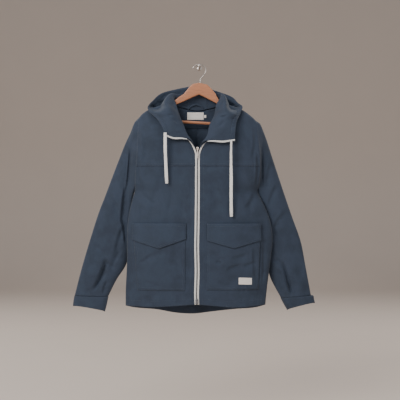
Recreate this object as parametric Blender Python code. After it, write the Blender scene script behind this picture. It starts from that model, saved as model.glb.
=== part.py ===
"""Hooded waterproof jacket, empty, on a wooden hanger that hangs from a peg.

Sizes are in millimetres and turned to metres when a mesh is made. The wall is the plane y = 0, the front
looks along -Y and Z is up. The origin is on the wall behind the peg.
"""

import math

import bpy
import numpy as np

TO_METRES = 0.001

# Main sizes
CLOTH = 1.5
SEAM_GAP = 0.3
HANGER_DEPTH = -58.0
CREST_RADIUS_FRONT = 10.0
CREST_RADIUS_BACK = 8.0
CREST_REACH_FRONT = 115.0
CREST_REACH_BACK = 70.0
YOKE_SEAM_HEIGHT = -360.0
UNDERARM_HEIGHT = -451.0
HEM_HEIGHT = -857.0
MIDDLE_X = -8.0
YOKE_ROWS = (0, 0.008, 0.03, 0.075, 0.15, 0.27, 0.42, 0.6, 0.8, 1)
BACK_ROWS = (
    0, 0.003, 0.01, 0.025, 0.05, 0.085, 0.13, 0.18, 0.24, 0.3, 0.37, 0.44, 0.52, 0.6, 0.68, 0.76, 0.84, 0.92, 1,
)

# Zip
ZIP_TAPE_WIDTH = 7.0
ZIP_TEETH_WIDTH = 4.2
ZIP_TEETH_THICK = 2.4
ZIP_PANEL_EDGE = 10.0
ZIP_TOP = -293.0
ZIP_BOTTOM = -853.0
SLIDER_WIDTH = 10.0
SLIDER_HEIGHT = 10.0
SLIDER_DEPTH = 7.0
SLIDER_SLOT = 6.0
TAB_WIDTH = 5.2
TAB_LENGTH = 36.0
TAB_THICK = 1.4
STOP_HEIGHT = 18.0

# Hanger and peg
WIRE_RADIUS = 1.7
BAR_RADIUS = 5.2
ARM_DROP = 3.0
ARM_FROM = 110.0
PEG_RADIUS = 3.0
PEG_HEAD_RADIUS = 6.5
PEG_LENGTH = 72.0
PEG_PLATE_RADIUS = 9.0

# Cords
CORD_WIDTH = 14.0
CORD_THICK = 2.0

# Shoulder line: x, height
SHOULDER = np.array([
    (-250, -236), (-232, -206), (-219.5, -190), (-206, -174), (-178, -156), (-135, -141), (-104, -131),
    (-8, -104), (90, -134.5), (111, -142), (157, -160), (185, -180), (206, -200), (220, -218), (240, -250),
], float)

# Body: height, left edge x, right edge x, front depth, back depth, front edge depth, back edge depth
BODY = np.array([
    (-910, -264, 236, -123, -11, -72, -72),
    (-862, -264, 236.5, -124, -10, -73, -73),
    (-805, -263.5, 241.5, -126, -9, -74, -74),
    (-712, -259, 253, -126, -9, -75, -75),
    (-626, -258.5, 262, -125, -9, -75, -75),
    (-569, -256, 256, -123, -10, -75, -75),
    (-515, -248, 238, -122, -12, -73, -73),
    (-480, -240, 222, -121, -14, -68, -68),
    (-451, -232, 210, -121, -17, -62, -62),
    (-425, -229, 214, -121, -20, -80, -46),
    (-390, -227, 217, -121, -24, -91, -34),
    (-340, -223, 217, -120, -29, -96, -29),
    (-260, -219, 212, -118, -31, -95, -30),
    (-200, -217, 205, -115, -31, -91, -31),
    (-100, -215, 200, -112, -30, -88, -31),
], float)

# Front neck edge: height, left x, right x
NECK_FRONT = np.array([
    (-293, -18, 2), (-280, -34, 20), (-258, -50, 36), (-222, -66, 50), (-184, -84, 66), (-155, -98, 82),
    (-131, -104, 90),
], float)

# Back neck edge: x, height
NECK_BACK = np.array([
    (-104, -131), (-84, -143), (-45, -154), (-8, -160), (30, -155), (68, -146), (90, -135),
], float)

# Zip line: height, x
ZIP_LINE = np.array([
    (-900, -9), (-853, -8.5), (-820, -9.8), (-797, -9.4), (-740, -7.6), (-702, -8.2), (-650, -9.2),
    (-575, -8.0), (-450, -6.8), (-360, -6.6), (-296, -6.2), (-280, -6.2),
], float)

# Hems: x, height
HEM_FRONT = np.array([
    (-264, -861.5), (-230, -861), (-180, -862.5), (-85, -858), (-20, -853.5), (-3, -853.5), (62, -859),
    (124, -864), (186, -861), (215, -859), (236, -858.5),
], float)
HEM_BACK = np.array([
    (-264, -862), (-235, -870), (-154, -881), (-85, -895), (-20, -899), (32, -893), (129, -880),
    (204, -870), (236, -859),
], float)

# Folds of the body: start x, start height, end x, end height, half width, depth (towards the wall)
FRONT_FOLDS = np.array([
    (-152, -430, -172, -560, 11, 3.0),
    (-90, -435, -112, -555, 10, 2.5),
    (172, -250, 208, -352, 12, 4.0),
    (120, -300, 168, -470, 16, 2.5),
    (-196, -300, -188, -450, 14, 2.5),
    (60, -820, 90, -870, 26, 3.0),
    (-150, -815, -120, -875, 24, -3.0),
    (190, -700, 225, -840, 18, 3.5),
], float)
BACK_FOLDS = np.array([
    (-110, -330, -140, -640, 22, -4.0),
    (40, -340, 70, -760, 26, -4.0),
    (-30, -420, -20, -830, 20, -3.5),
    (130, -380, 120, -700, 22, -3.5),
    (-190, -470, -180, -800, 18, -3.0),
], float)

# Sleeves: outer x, outer height, inner x, inner height, middle depth, half depth
SLEEVE_LEFT = np.array([
    (-219.5, -190, -232, -451, -60, 34),
    (-236, -207, -236.5, -462, -53, 31),
    (-249, -240, -240, -478, -48, 28),
    (-266, -276, -243, -498, -45, 26),
    (-283, -318, -244, -522, -43, 25),
    (-311, -390, -245, -562, -42, 24),
    (-341, -470, -246, -607, -41, 23),
    (-368, -540, -250, -652, -39, 22),
    (-404, -655, -267, -718, -39, 22),
    (-429, -742, -301, -772, -41, 22),
    (-451, -829, -331, -832, -43, 21),
], float)
SLEEVE_RIGHT = np.array([
    (206, -201, 210, -451, -60, 34),
    (220, -210, 217, -461, -53, 31),
    (233, -239, 220, -476, -48, 28),
    (246, -274, 226, -496, -45, 26),
    (258, -312, 231, -518, -43, 25),
    (281, -382, 238, -558, -42, 24),
    (310, -469, 242, -606, -41, 23),
    (337, -547, 243, -655, -39, 22),
    (367, -632, 247, -710, -39, 22),
    (384, -720, 259, -766, -41, 22),
    (404, -829, 296, -837, -43, 21),
], float)
CUFF_LEFT = np.array([
    (-451.6, -829.6, -330.6, -832.6, -43, 21.3),
    (-455, -849, -336, -860, -43, 23),
    (-457, -868, -343, -888, -43, 23.5),
], float)
CUFF_RIGHT = np.array([
    (405.5, -829.6, 295.6, -837.6, -43, 21.3),
    (413, -831, 297, -841, -43, 22.5),
    (415, -843, 307, -860, -43, 23),
    (418, -857, 320, -882, -43, 23.5),
], float)

# Folds of the sleeves: start x, start height, end x, end height, half width, depth (towards the wall)
SLEEVE_FOLDS = np.array([
    (-246, -285, -262, -450, 13, 7.0),
    (-262, -450, -276, -630, 13, 6.0),
    (-335, -700, -378, -800, 12, 8.0),
    (-300, -430, -350, -600, 16, -4.0),
    (274, -716, 335, -815, 12, 8.0),
    (232, -300, 236, -470, 12, 5.0),
    (268, -440, 318, -640, 16, -3.5),
    (330, -620, 372, -790, 14, 3.0),
], float)

# Hood, from the left front over the back to the right front. Columns, each x, depth, height:
# neck edge (depth from the body), roll, ridge, valley, rim
HOOD = np.array([
    (-17.5, 0, -291, -27, -131, -273, -58, -134, -264, -92, -137, -262.5, -122, -141, -251),
    (-49, 0, -256, -43, -127, -250, -72, -138, -240, -102, -141, -236, -129, -138, -229),
    (-65, 0, -219, -58, -116, -212, -90, -134, -198, -121, -136, -196, -148, -122, -198),
    (-83, 0, -181, -72, -100, -178, -104, -124, -160, -142, -119, -170, -178, -92, -168),
    (-98, 0, -152, -84, -79, -138, -112, -98, -122, -149, -66, -134, -185, -62, -147),
    (-103, 0, -129.5, -90, -58, -114, -108, -66, -103, -139, -29, -160, -168, -36, -121),
    (-82, 0, -142.5, -70, -42, -112, -84, -41, -104, -110, -16, -205, -140, -18, -94),
    (-44, 0, -152.5, -40, -36, -111, -44, -29, -106, -60, -13, -270, -92, -10, -79),
    (-8, 0, -158.5, -8, -34, -113, -8, -27, -108, -8, -13, -300, -8, -9, -66),
    (29, 0, -153.5, 25, -36, -112, 26, -29, -107, 38, -13, -270, 62, -10, -84),
    (66, 0, -144.5, 53, -41, -110, 62, -39, -104, 88, -16, -205, 117, -18, -105),
    (88.5, 0, -133, 78, -57, -109, 88, -66, -103, 115, -29, -160, 141, -38, -131),
    (82, 0, -154, 62, -79, -141, 90, -98, -124, 122, -66, -135, 155, -62, -146),
    (66, 0, -183, 53, -100, -183, 84, -124, -166, 117, -119, -173, 147, -92, -172),
    (49, 0, -221, 37, -117, -216, 72, -134, -206, 104, -136, -204, 133, -122, -203),
    (35, 0, -257, 29, -127, -254, 60, -138, -250, 95, -140, -246, 127, -138, -238),
    (1.5, 0, -291, 13, -130, -278, 46, -133, -273, 84, -136, -275, 125, -140, -269),
], float)
HOOD_CENTRE_FROM = 7.0
HOOD_CENTRE_TO = 9.0

# Pockets: left x at the top, right x at the top, left x below, right x below, top, bottom, gape at the sides
POCKET_LEFT = (-236.0, -49.0, -220.0, -50.0, -577.0, -803.0, 0.0, 0.0)
POCKET_RIGHT = (29.0, 217.0, 25.0, 210.0, -577.0, -801.0, 0.0, 5.0)
POCKET_LIFT = 2.0
POCKET_PUFF = 5.0
# Flaps: left x, right x, top, height at the left corner, at the point, at the right corner
FLAP_LEFT = (-239.0, -47.0, -566.0, -625.0, -655.0, -621.0)
FLAP_RIGHT = (27.0, 219.0, -566.5, -627.0, -654.0, -626.0)
FLAP_LIFT = 2.2

# Labels: left x, right x, top, bottom
NECK_LABEL = (-44.0, 16.0, -165.0, -192.0)
SIZE_TAB = (17.0, 25.0, -174.0, -185.0)
POCKET_PATCH = (139.0, 186.0, -758.0, -782.0)
PATCH_TILT = 0.035

# Hanger arms: x, top (under the shoulders the cloth gives it), bottom, half thickness
WOOD = np.array([
    (-205, -185, -201, 5.0), (-196, -177, -203, 6.0), (-182, -168, -203, 6.5), (-178.5, -167, -189, 6.5),
    (-150, -156, -177, 6.5), (-120, -147, -167, 6.5), (-104, -141, -156, 6.5), (-88, -124, -142, 6.5),
    (-74, -112, -135.5, 6.5), (-56, -101, -127.5, 6.5), (-45, -87, -122.5, 6.5), (-35, -74, -118, 6.5),
    (-24.5, -65, -113, 6.5), (0, -60, -103, 6.5), (28.5, -67, -117.5, 6.5), (41, -79, -124, 6.5),
    (58, -99, -133, 6.5), (67, -117, -138, 6.5), (90, -144, -156, 6.5), (111, -152, -170, 6.5),
    (135, -162, -184, 6.5), (164.5, -174, -196, 6.5), (168, -176, -223, 6.5), (180, -185, -223, 6.0),
    (190, -196, -220, 5.0),
], float)
BAR_ENDS = ((-177.9, -194.0), (163.9, -215.0))

# Hanger hook: x, height
HOOK = np.array([
    (-23.5, -10), (-19.5, -1.5), (-11, 3.6), (0, 5.0), (11, 2.4), (20.5, -5.5), (24, -17), (19, -29),
    (9.5, -39.5), (4.2, -49), (3.5, -60.2),
], float)

# Cords: x, depth, height, turn of the flat side in degrees
CORD_LEFT = np.array([
    (-124.5, -143.6, -247, 12), (-124, -143, -300, 4), (-121, -138, -370, 0), (-118, -132, -425, 2),
], float)
CORD_RIGHT = np.array([
    (112, -146.9, -272, 58), (111, -145, -330, 46), (112, -139, -400, 20), (112, -135, -480, 6),
    (113, -132, -542, 0),
], float)

# Colours (linear) and surface
SLOTS = {
    "shell_cloth": ((0.045, 0.062, 0.092, 1.0), 0.85, 0.0),
    "cream_tape": ((0.66, 0.62, 0.55, 1.0), 0.8, 0.0),
    "cream_cord": ((0.70, 0.66, 0.58, 1.0), 0.85, 0.0),
    "label_cloth": ((0.72, 0.70, 0.66, 1.0), 0.8, 0.0),
    "wood": ((0.42, 0.18, 0.075, 1.0), 0.5, 0.0),
    "steel": ((0.45, 0.45, 0.46, 1.0), 0.35, 1.0),
    "zip_metal": ((0.30, 0.30, 0.31, 1.0), 0.4, 1.0),
}


def clear_scene():
    for item in list(bpy.data.objects):
        bpy.data.objects.remove(item, do_unlink=True)
    for mesh in list(bpy.data.meshes):
        bpy.data.meshes.remove(mesh)
    for material in list(bpy.data.materials):
        bpy.data.materials.remove(material)


def material(node, slot):
    colour, roughness, metallic = SLOTS[slot]
    made = bpy.data.materials.new(node + "_" + slot)
    made.use_nodes = True
    shader = made.node_tree.nodes["Principled BSDF"]
    shader.inputs["Base Color"].default_value = colour
    shader.inputs["Roughness"].default_value = roughness
    shader.inputs["Metallic"].default_value = metallic
    made.diffuse_color = colour
    return made


def smooth(keys, values, at):
    """A curve through the rows of a table: cubic pieces whose slope at a row is that between its neighbours."""
    order = np.argsort(keys)
    keys = np.asarray(keys, float)[order]
    values = np.asarray(values, float)[order]
    at = np.clip(np.asarray(at, float), keys[0], keys[-1])
    step = np.diff(keys)
    rise = np.diff(values, axis=0)
    shape = (-1,) + (1,) * (values.ndim - 1)
    slope = rise / step.reshape(shape)
    tangent = np.concatenate([slope[:1], 0.5 * (slope[1:] + slope[:-1]), slope[-1:]])
    index = np.clip(np.searchsorted(keys, at, side="right") - 1, 0, len(step) - 1)
    wide = at.shape + (1,) * (values.ndim - 1)
    t = ((at - keys[index]) / step[index]).reshape(wide)
    length = step[index].reshape(wide)
    low = values[index]
    high = values[index + 1]
    return (
        low * (2 * t**3 - 3 * t**2 + 1)
        + tangent[index] * length * (t**3 - 2 * t**2 + t)
        + high * (3 * t**2 - 2 * t**3)
        + tangent[index + 1] * length * (t**3 - t**2)
    )


def folds(table, x, z):
    """Depth of soft troughs and ridges, each along a line that fades at both ends."""
    total = np.zeros(np.broadcast(x, z).shape)
    for x0, z0, x1, z1, half_width, depth in table:
        along = np.array([x1 - x0, z1 - z0])
        length = np.hypot(*along)
        along /= length
        s = ((x - x0) * along[0] + (z - z0) * along[1]) / length
        across = (x - x0) * along[1] - (z - z0) * along[0]
        fade = np.clip(1.15 - np.abs(2 * s - 1), 0, 1)
        fade = fade * fade * (3 - 2 * fade)
        total += depth * np.exp(-((across / half_width) ** 2)) * fade
    return total


def shoulder_height(x):
    return smooth(SHOULDER[:, 0], SHOULDER[:, 1], x)


def body_row(z):
    """left x, right x, front depth, back depth, front edge depth, back edge depth at this height"""
    return np.moveaxis(smooth(BODY[:, 0], BODY[:, 1:], z), -1, 0)


def crest(below, full, radius, reach):
    """How far the cloth stands off the hanger's middle plane this far below the shoulder line."""
    near = np.clip(below / radius, 0, 1)
    far = np.clip(below / reach, 0, 1)
    first = np.minimum(full, radius)
    return first * np.sqrt(1 - (1 - near) ** 2) + (full - first) * (1 - (1 - far) ** 1.8)


def across(x, left, right):
    side = np.where(x < MIDDLE_X, left, right)
    return np.clip(np.abs((x - MIDDLE_X) / (side - MIDDLE_X)), 0, 1)


def front_depth(x, z):
    """Depth of the front sheet: a flattened oval from edge to edge, drawn in under the shoulder line."""
    left, right, front, _, edge, _ = body_row(z)
    flat = edge + (front - edge) * (1 - across(x, left, right) ** 3) ** 0.6
    return HANGER_DEPTH - crest(
        shoulder_height(x) - z, HANGER_DEPTH - flat, CREST_RADIUS_FRONT, CREST_REACH_FRONT
    ) + folds(FRONT_FOLDS, x, z)


def back_depth(x, z):
    left, right, _, back, _, edge = body_row(z)
    flat = edge + (back - edge) * (1 - across(x, left, right) ** 2.2) ** 1.1
    return HANGER_DEPTH + crest(
        shoulder_height(x) - z, flat - HANGER_DEPTH, CREST_RADIUS_BACK, CREST_REACH_BACK
    ) + folds(BACK_FOLDS, x, z)


def normals(grid, wrap):
    """Unit normals of a grid of points, from the differences between neighbours."""
    if wrap:
        du = np.roll(grid, -1, 0) - np.roll(grid, 1, 0)
    else:
        du = np.gradient(grid, axis=0)
    dv = np.gradient(grid, axis=1)
    cross = np.cross(du, dv)
    return cross / np.maximum(np.linalg.norm(cross, axis=-1, keepdims=True), 1e-9)


def add_mesh(name, points, faces, slot, round_shaded=True):
    mesh = bpy.data.meshes.new(name)
    mesh.from_pydata((np.asarray(points) * TO_METRES).tolist(), [], [list(f) for f in faces])
    mesh.update()
    corners = np.asarray(points)[np.array([(f[0], f[i], f[i + 1]) for f in faces for i in range(1, len(f) - 1)])]
    if np.linalg.det(corners - np.asarray(points).mean(0)).sum() < 0:
        mesh.flip_normals()
    if round_shaded:
        mesh.polygons.foreach_set("use_smooth", [True] * len(mesh.polygons))
    mesh.materials.append(material(name, slot))
    made = bpy.data.objects.new(name, mesh)
    bpy.context.scene.collection.objects.link(made)
    return made


def grid_faces(rows, columns, wrap):
    """Quads of both sides of a sheet and of its edges; the second side's points follow the first's."""
    size = rows * columns

    def at(i, j):
        return (i % rows) * columns + j

    faces = []
    for i in range(rows if wrap else rows - 1):
        for j in range(columns - 1):
            quad = (at(i, j), at(i + 1, j), at(i + 1, j + 1), at(i, j + 1))
            faces.append(quad)
            faces.append(tuple(size + k for k in quad[::-1]))
    for i in range(rows if wrap else rows - 1):
        for j, back in ((0, True), (columns - 1, False)):
            a, b = at(i, j), at(i + 1, j)
            quad = (b, a, a + size, b + size)
            faces.append(quad if back else quad[::-1])
    if not wrap:
        for j in range(columns - 1):
            for i, back in ((0, False), (rows - 1, True)):
                a, b = at(i, j), at(i, j + 1)
                quad = (b, a, a + size, b + size)
                faces.append(quad if back else quad[::-1])
    return faces


def sheet(name, grid, slot, thick=CLOTH, wrap=False):
    """A cloth piece: the grid of its middle moved half its thickness to both sides."""
    out = normals(grid, wrap) * thick / 2
    points = np.concatenate([(grid + out).reshape(-1, 3), (grid - out).reshape(-1, 3)])
    return add_mesh(name, points, grid_faces(grid.shape[0], grid.shape[1], wrap), slot)


def tube(name, rings, slot):
    """Closed rings joined one to the next, with a cap at both ends."""
    count, size = rings.shape[:2]
    faces = []
    for i in range(count - 1):
        for j in range(size):
            k = (j + 1) % size
            faces.append((i * size + j, i * size + k, (i + 1) * size + k, (i + 1) * size + j))
    faces.append(tuple(range(size - 1, -1, -1)))
    faces.append(tuple((count - 1) * size + j for j in range(size)))
    return add_mesh(name, rings.reshape(-1, 3), faces, slot)


def span(count):
    return np.linspace(0, 1, count)


def towards_end(count):
    """Steps from 0 to 1 that grow finer towards 1."""
    return np.sin(span(count) * math.pi / 2)


def inner_edge(side, z):
    """x of the front's inner edge: along the zip, then round the neck."""
    column = 1 if side < 0 else 2
    zip_edge = smooth(ZIP_LINE[:, 0], ZIP_LINE[:, 1], z) + side * ZIP_PANEL_EDGE
    neck = smooth(NECK_FRONT[:, 0], NECK_FRONT[:, column], z)
    return np.where(z < NECK_FRONT[0, 0], zip_edge, neck)


def outer_edge(side, z):
    return body_row(z)[0 if side < 0 else 1]


def front_grid(side, inner_heights, outer_heights, top, bottom, across_count):
    """Rows from the inner edge to the outer edge; top and bottom give the first and last row's heights."""
    u = towards_end(across_count)[:, None]
    v = span(len(inner_heights))[None, :]
    z_line = inner_heights + (outer_heights - inner_heights) * u
    x = inner_edge(side, inner_heights) * (1 - u) + outer_edge(side, outer_heights) * u
    z = z_line.copy()
    if top is not None:
        z += (top(x) - z_line[:, :1]) * (1 - v) ** 3
    if bottom is not None:
        z += (bottom(x) - z_line[:, -1:]) * v**3
    y = front_depth(x, z)
    y = np.where(u > 0.999, y - 3 * SEAM_GAP, y)
    return np.stack([x, y, z], -1)


def armhole_trim(z):
    """Room for the seam where a sleeve meets the body, fading out below the underarm."""
    return 0.6 * np.clip((z - UNDERARM_HEIGHT + 25) / 15, 0, 1)


def make_fronts():
    for side, word in ((-1, "left"), (1, "right")):
        tip = -190.5 if side < 0 else -201.0
        gap = SEAM_GAP
        rows = np.array(YOKE_ROWS)
        yoke = front_grid(
            side,
            -131.0 + (YOKE_SEAM_HEIGHT + gap + 131.0) * rows,
            tip + (YOKE_SEAM_HEIGHT + gap - tip) * rows,
            shoulder_height,
            None,
            11,
        )
        yoke[:, 0, 1] -= SEAM_GAP + 0.2
        yoke[-1, :, 0] -= side * 0.6
        sheet("yoke_" + word, yoke, "shell_cloth")
        heights = YOKE_SEAM_HEIGHT - gap + (HEM_HEIGHT - YOKE_SEAM_HEIGHT + gap) * span(16)
        lower = front_grid(
            side, heights, heights, None, lambda x: smooth(HEM_FRONT[:, 0], HEM_FRONT[:, 1], x), 13
        )
        lower[-1, :, 0] -= side * armhole_trim(heights)
        sheet("front_" + word, lower, "shell_cloth")


def make_backs():
    for side, word in ((-1, "left"), (1, "right")):
        v = np.array(BACK_ROWS)[None, :]
        u = towards_end(11)[:, None]
        tip = -191.5 if side < 0 else -202.0
        neck = -159.0
        inner = neck + (HEM_HEIGHT - neck) * v
        outer = tip + (HEM_HEIGHT - tip) * v
        z_line = inner + (outer - inner) * u
        middle = MIDDLE_X + side * 0.3
        x = middle * (1 - u) + outer_edge(side, outer) * u
        top = np.where(
            (x[:, :1] > NECK_BACK[0, 0]) & (x[:, :1] < NECK_BACK[-1, 0]),
            smooth(NECK_BACK[:, 0], NECK_BACK[:, 1], x[:, :1]) - 1.2,
            shoulder_height(x[:, :1]),
        )
        hem = smooth(HEM_BACK[:, 0], HEM_BACK[:, 1], x[:, -1:])
        z = z_line + (top - z_line[:, :1]) * (1 - v) ** 4 + (hem - z_line[:, -1:]) * v**4
        y = back_depth(x, z)
        y = np.where(u > 0.999, y + 3 * SEAM_GAP, y)
        y[:, 0] += SEAM_GAP + 0.2
        x[-1, :] -= side * armhole_trim(z[-1, :])
        sheet("back_" + word, np.stack([x, y, z], -1), "shell_cloth")


def sleeve_section(side, row, angle):
    """One ring of a sleeve, an oval from its outer to its inner edge."""
    outer_x, outer_z, inner_x, inner_z, depth, half = row
    c, s = np.cos(angle), np.sin(angle)
    x = (outer_x + inner_x) / 2 + (outer_x - inner_x) / 2 * c
    z = (outer_z + inner_z) / 2 + (outer_z - inner_z) / 2 * c
    y = depth - half * np.sign(s) * np.abs(s) ** 0.8
    return np.stack([x, y, z], -1)


def armhole(side, angle):
    """The ring where a sleeve meets the body's edge, from the shoulder line down to the underarm."""
    table = SLEEVE_LEFT if side < 0 else SLEEVE_RIGHT
    ring = sleeve_section(side, table[0], angle)
    low = table[0, 3]
    top = float(shoulder_height(outer_edge(side, table[0, 1]) + side * 0.7))
    z = low + (ring[:, 2] - low) * (top - low) / (table[0, 1] - low)
    x = outer_edge(side, z)
    near_underarm = np.clip((UNDERARM_HEIGHT + 40 - z) / 40, 0, 1)
    ring[:, 0] = x + side * (0.7 + 2.2 * near_underarm)
    ring[:, 1] = np.where(np.sin(angle) > 0, front_depth(x, z), back_depth(x, z))
    ring[:, 2] = z
    return ring


def sleeve_grid(side, around, along, to=1.0):
    """Rings from the armhole to the wrist; the armhole's own shape dies out over the first third."""
    table = SLEEVE_LEFT if side < 0 else SLEEVE_RIGHT
    angle = np.linspace(0, 2 * math.pi, around, endpoint=False)
    rows = smooth(np.arange(len(table)), table, np.linspace(0, len(table) - 1, along) * to)
    rings = np.stack([sleeve_section(side, row, angle) for row in rows], 1)
    change = armhole(side, angle) - rings[:, 0]
    fade = np.clip(1 - np.linspace(0, 1, along) / 0.36, 0, 1) ** 1.6
    rings += change[:, None, :] * fade[None, :, None]
    weight = np.clip(np.sin(angle), 0, 1)[:, None] ** 0.5 * (1 - fade)[None, :]
    rings[:, :, 1] += folds(SLEEVE_FOLDS, rings[:, :, 0], rings[:, :, 2]) * weight
    return rings


def make_sleeves():
    for side, word, cuffs in ((-1, "left", CUFF_LEFT), (1, "right", CUFF_RIGHT)):
        sheet("sleeve_" + word, sleeve_grid(side, 26, 16), "shell_cloth", wrap=True)
        angle = np.linspace(0, 2 * math.pi, 24, endpoint=False)
        rings = np.stack([sleeve_section(side, row, angle) for row in cuffs], 1)
        rings[:, 0, 2] -= SEAM_GAP
        sheet("cuff_" + word, rings, "shell_cloth", thick=2.2, wrap=True)


def hood_points():
    """The hood's table as rows of five points, each neck point at the depth of the body's edge."""
    points = HOOD.reshape(len(HOOD), 5, 3).copy()
    for i, row in enumerate(points):
        x, _, z = row[0]
        front = i < 5 or i > 11
        row[0, 1] = front_depth(x, z) if front else back_depth(x, z)
    return points


def hood_grid(start, end, along_count, out_count):
    points = hood_points()
    rows = smooth(np.arange(len(points)), points, np.linspace(start, end, along_count))
    knots = np.array([0.0, 0.14, 0.36, 0.68, 1.0])
    stations = np.linspace(0.02, 1, out_count)
    flat = np.moveaxis(rows, 1, 0)
    return np.moveaxis(smooth(knots, flat, stations), 0, 1)


def make_hood():
    gap = 0.032
    sheet("hood_left", hood_grid(0, HOOD_CENTRE_FROM - gap, 22, 15), "shell_cloth")
    sheet("hood_centre", hood_grid(HOOD_CENTRE_FROM + gap, HOOD_CENTRE_TO - gap, 8, 15), "shell_cloth")
    sheet("hood_right", hood_grid(HOOD_CENTRE_TO + gap, len(HOOD) - 1, 22, 15), "shell_cloth")


def pocket_lift(pocket, x, z):
    """How far a pocket stands off the front: sewn down all round, fuller in the middle."""
    left_top, right_top, left_low, right_low, top, bottom, gape_left, gape_right = pocket
    b = np.clip((z - top) / (bottom - top), -0.1, 1)
    left = left_top + (left_low - left_top) * b
    right = right_top + (right_low - right_top) * b
    a = np.clip((x - left) / (right - left), 0, 1)
    puff = np.sin(math.pi * a) ** 0.7 * np.clip(np.cos(math.pi / 2 * b), 0, 1) ** 0.6
    side = gape_left * (1 - a) ** 4 + gape_right * a**4
    return POCKET_LIFT + POCKET_PUFF * puff + side * np.clip(1.3 - b, 0, 1)


def make_pockets():
    for word, pocket, flap in (("left", POCKET_LEFT, FLAP_LEFT), ("right", POCKET_RIGHT, FLAP_RIGHT)):
        left_top, right_top, left_low, right_low, top, bottom, _, _ = pocket
        a, b = np.meshgrid(span(13), span(11), indexing="ij")
        x = (left_top + (left_low - left_top) * b) * (1 - a) + (right_top + (right_low - right_top) * b) * a
        z = top + (bottom - top) * b
        y = front_depth(x, z) - pocket_lift(pocket, x, z)
        sheet("pocket_" + word, np.stack([x, y, z], -1), "shell_cloth")
        a, b = np.meshgrid(span(13), span(5), indexing="ij")
        x = flap[0] + (flap[1] - flap[0]) * a
        corner = np.where(a < 0.5, flap[3], flap[5])
        low = flap[4] + (corner - flap[4]) * np.abs(2 * a - 1)
        z = flap[2] + (low - flap[2]) * b
        y = front_depth(x, z) - pocket_lift(pocket, x, z) - FLAP_LIFT - 1.5 * b
        sheet("flap_" + word, np.stack([x, y, z], -1), "shell_cloth")


def make_labels():
    a, b = np.meshgrid(span(11), span(4), indexing="ij")
    left = -84 - 22 * b
    right = 60 + 22 * b
    x = left + (right - left) * a
    top = smooth(NECK_BACK[:, 0], NECK_BACK[:, 1], x) - 3.5
    z = top + (-214 - top) * b
    y = back_depth(x, z) - 3.0
    sheet("neck_facing", np.stack([x, y, z], -1), "shell_cloth", thick=1.2)
    for name, box, lift in (("neck_label", NECK_LABEL, 5.2), ("size_tab", SIZE_TAB, 5.2)):
        a, b = np.meshgrid(span(5), span(3), indexing="ij")
        x = box[0] + (box[1] - box[0]) * a
        z = box[2] + (box[3] - box[2]) * b
        sheet(name, np.stack([x, back_depth(x, z) - lift, z], -1), "label_cloth", thick=1.0)
    x = POCKET_PATCH[0] + (POCKET_PATCH[1] - POCKET_PATCH[0]) * a
    z = POCKET_PATCH[2] + (POCKET_PATCH[3] - POCKET_PATCH[2]) * b - (x - 162) * PATCH_TILT
    y = front_depth(x, z) - pocket_lift(POCKET_RIGHT, x, z) - 1.9
    sheet("pocket_patch", np.stack([x, y, z], -1), "label_cloth", thick=1.0)
    t = span(13)
    x = -41 + 58 * t
    z = -157 + 20 * np.sin(math.pi * t) ** 0.6
    y = back_depth(x, -157 + 0 * x) - 4.5 - 4.0 * np.sin(math.pi * t)
    strip = np.stack([np.stack([x, y, z + h], -1) for h in (-3.2, 0.0, 3.2)], 1)
    sheet("hang_loop", strip, "shell_cloth", thick=1.4)


def zip_x(z):
    return smooth(ZIP_LINE[:, 0], ZIP_LINE[:, 1], z)


def make_zip():
    for side, word, end in ((-1, "left", 0), (1, "right", len(HOOD) - 1)):
        z = np.linspace(ZIP_BOTTOM, ZIP_TOP - 2, 22)
        x = zip_x(z) + side * (ZIP_PANEL_EDGE - 0.8)
        sewn = np.stack([x, front_depth(x, z) - 0.2, z], -1)
        turn = np.zeros(len(z))
        edge = hood_grid(end, end, 1, 24)[0]
        edge[:, 1] -= 0.5
        edge[:, 2] -= 1.2
        first = 4
        sewn = np.concatenate([sewn, edge[first:]])
        turn = np.concatenate([turn, np.clip(np.linspace(0.35, 1.9, len(edge) - first), 0, 1)])
        turn = turn * math.pi / 2
        width = np.stack([-side * np.cos(turn), -0.5 * np.sin(2 * turn), -np.sin(turn)], -1)
        width /= np.linalg.norm(width, axis=1, keepdims=True)
        strip = np.stack([sewn + width * ZIP_TAPE_WIDTH * k for k in (0.0, 0.5, 1.0)], 1)
        sheet("zip_tape_" + word, strip, "cream_tape", thick=1.2)
    z = np.linspace(ZIP_BOTTOM + 1, ZIP_TOP, 30)
    middle = zip_x(z)
    rows = []
    for k in (-0.5, 0.0, 0.5):
        x = middle + k * (ZIP_TEETH_WIDTH - 1.2)
        rows.append(np.stack([x, front_depth(x, z) - 0.8, z], -1))
    sheet("zip_teeth", np.stack(rows, 1), "zip_metal", thick=ZIP_TEETH_THICK)
    block(
        "zip_stop",
        [(-4.6, 0), (4.6, 0), (4.6, -2.6), (3.6, -3.4), (-3.6, -3.4), (-4.6, -2.6)],
        ZIP_BOTTOM + 2.0,
        ZIP_BOTTOM + 2.0 + STOP_HEIGHT,
    )
    slider_z = ZIP_TOP - 8.0
    half, slot = SLIDER_WIDTH / 2, SLIDER_SLOT / 2
    block(
        "zip_slider",
        [
            (-half, 0), (half, 0), (half, -SLIDER_DEPTH), (slot, -SLIDER_DEPTH), (slot, -2.6), (-slot, -2.6),
            (-slot, -SLIDER_DEPTH), (-half, -SLIDER_DEPTH),
        ],
        slider_z - SLIDER_HEIGHT / 2,
        slider_z + SLIDER_HEIGHT / 2,
    )
    make_tab(slider_z)


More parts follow.
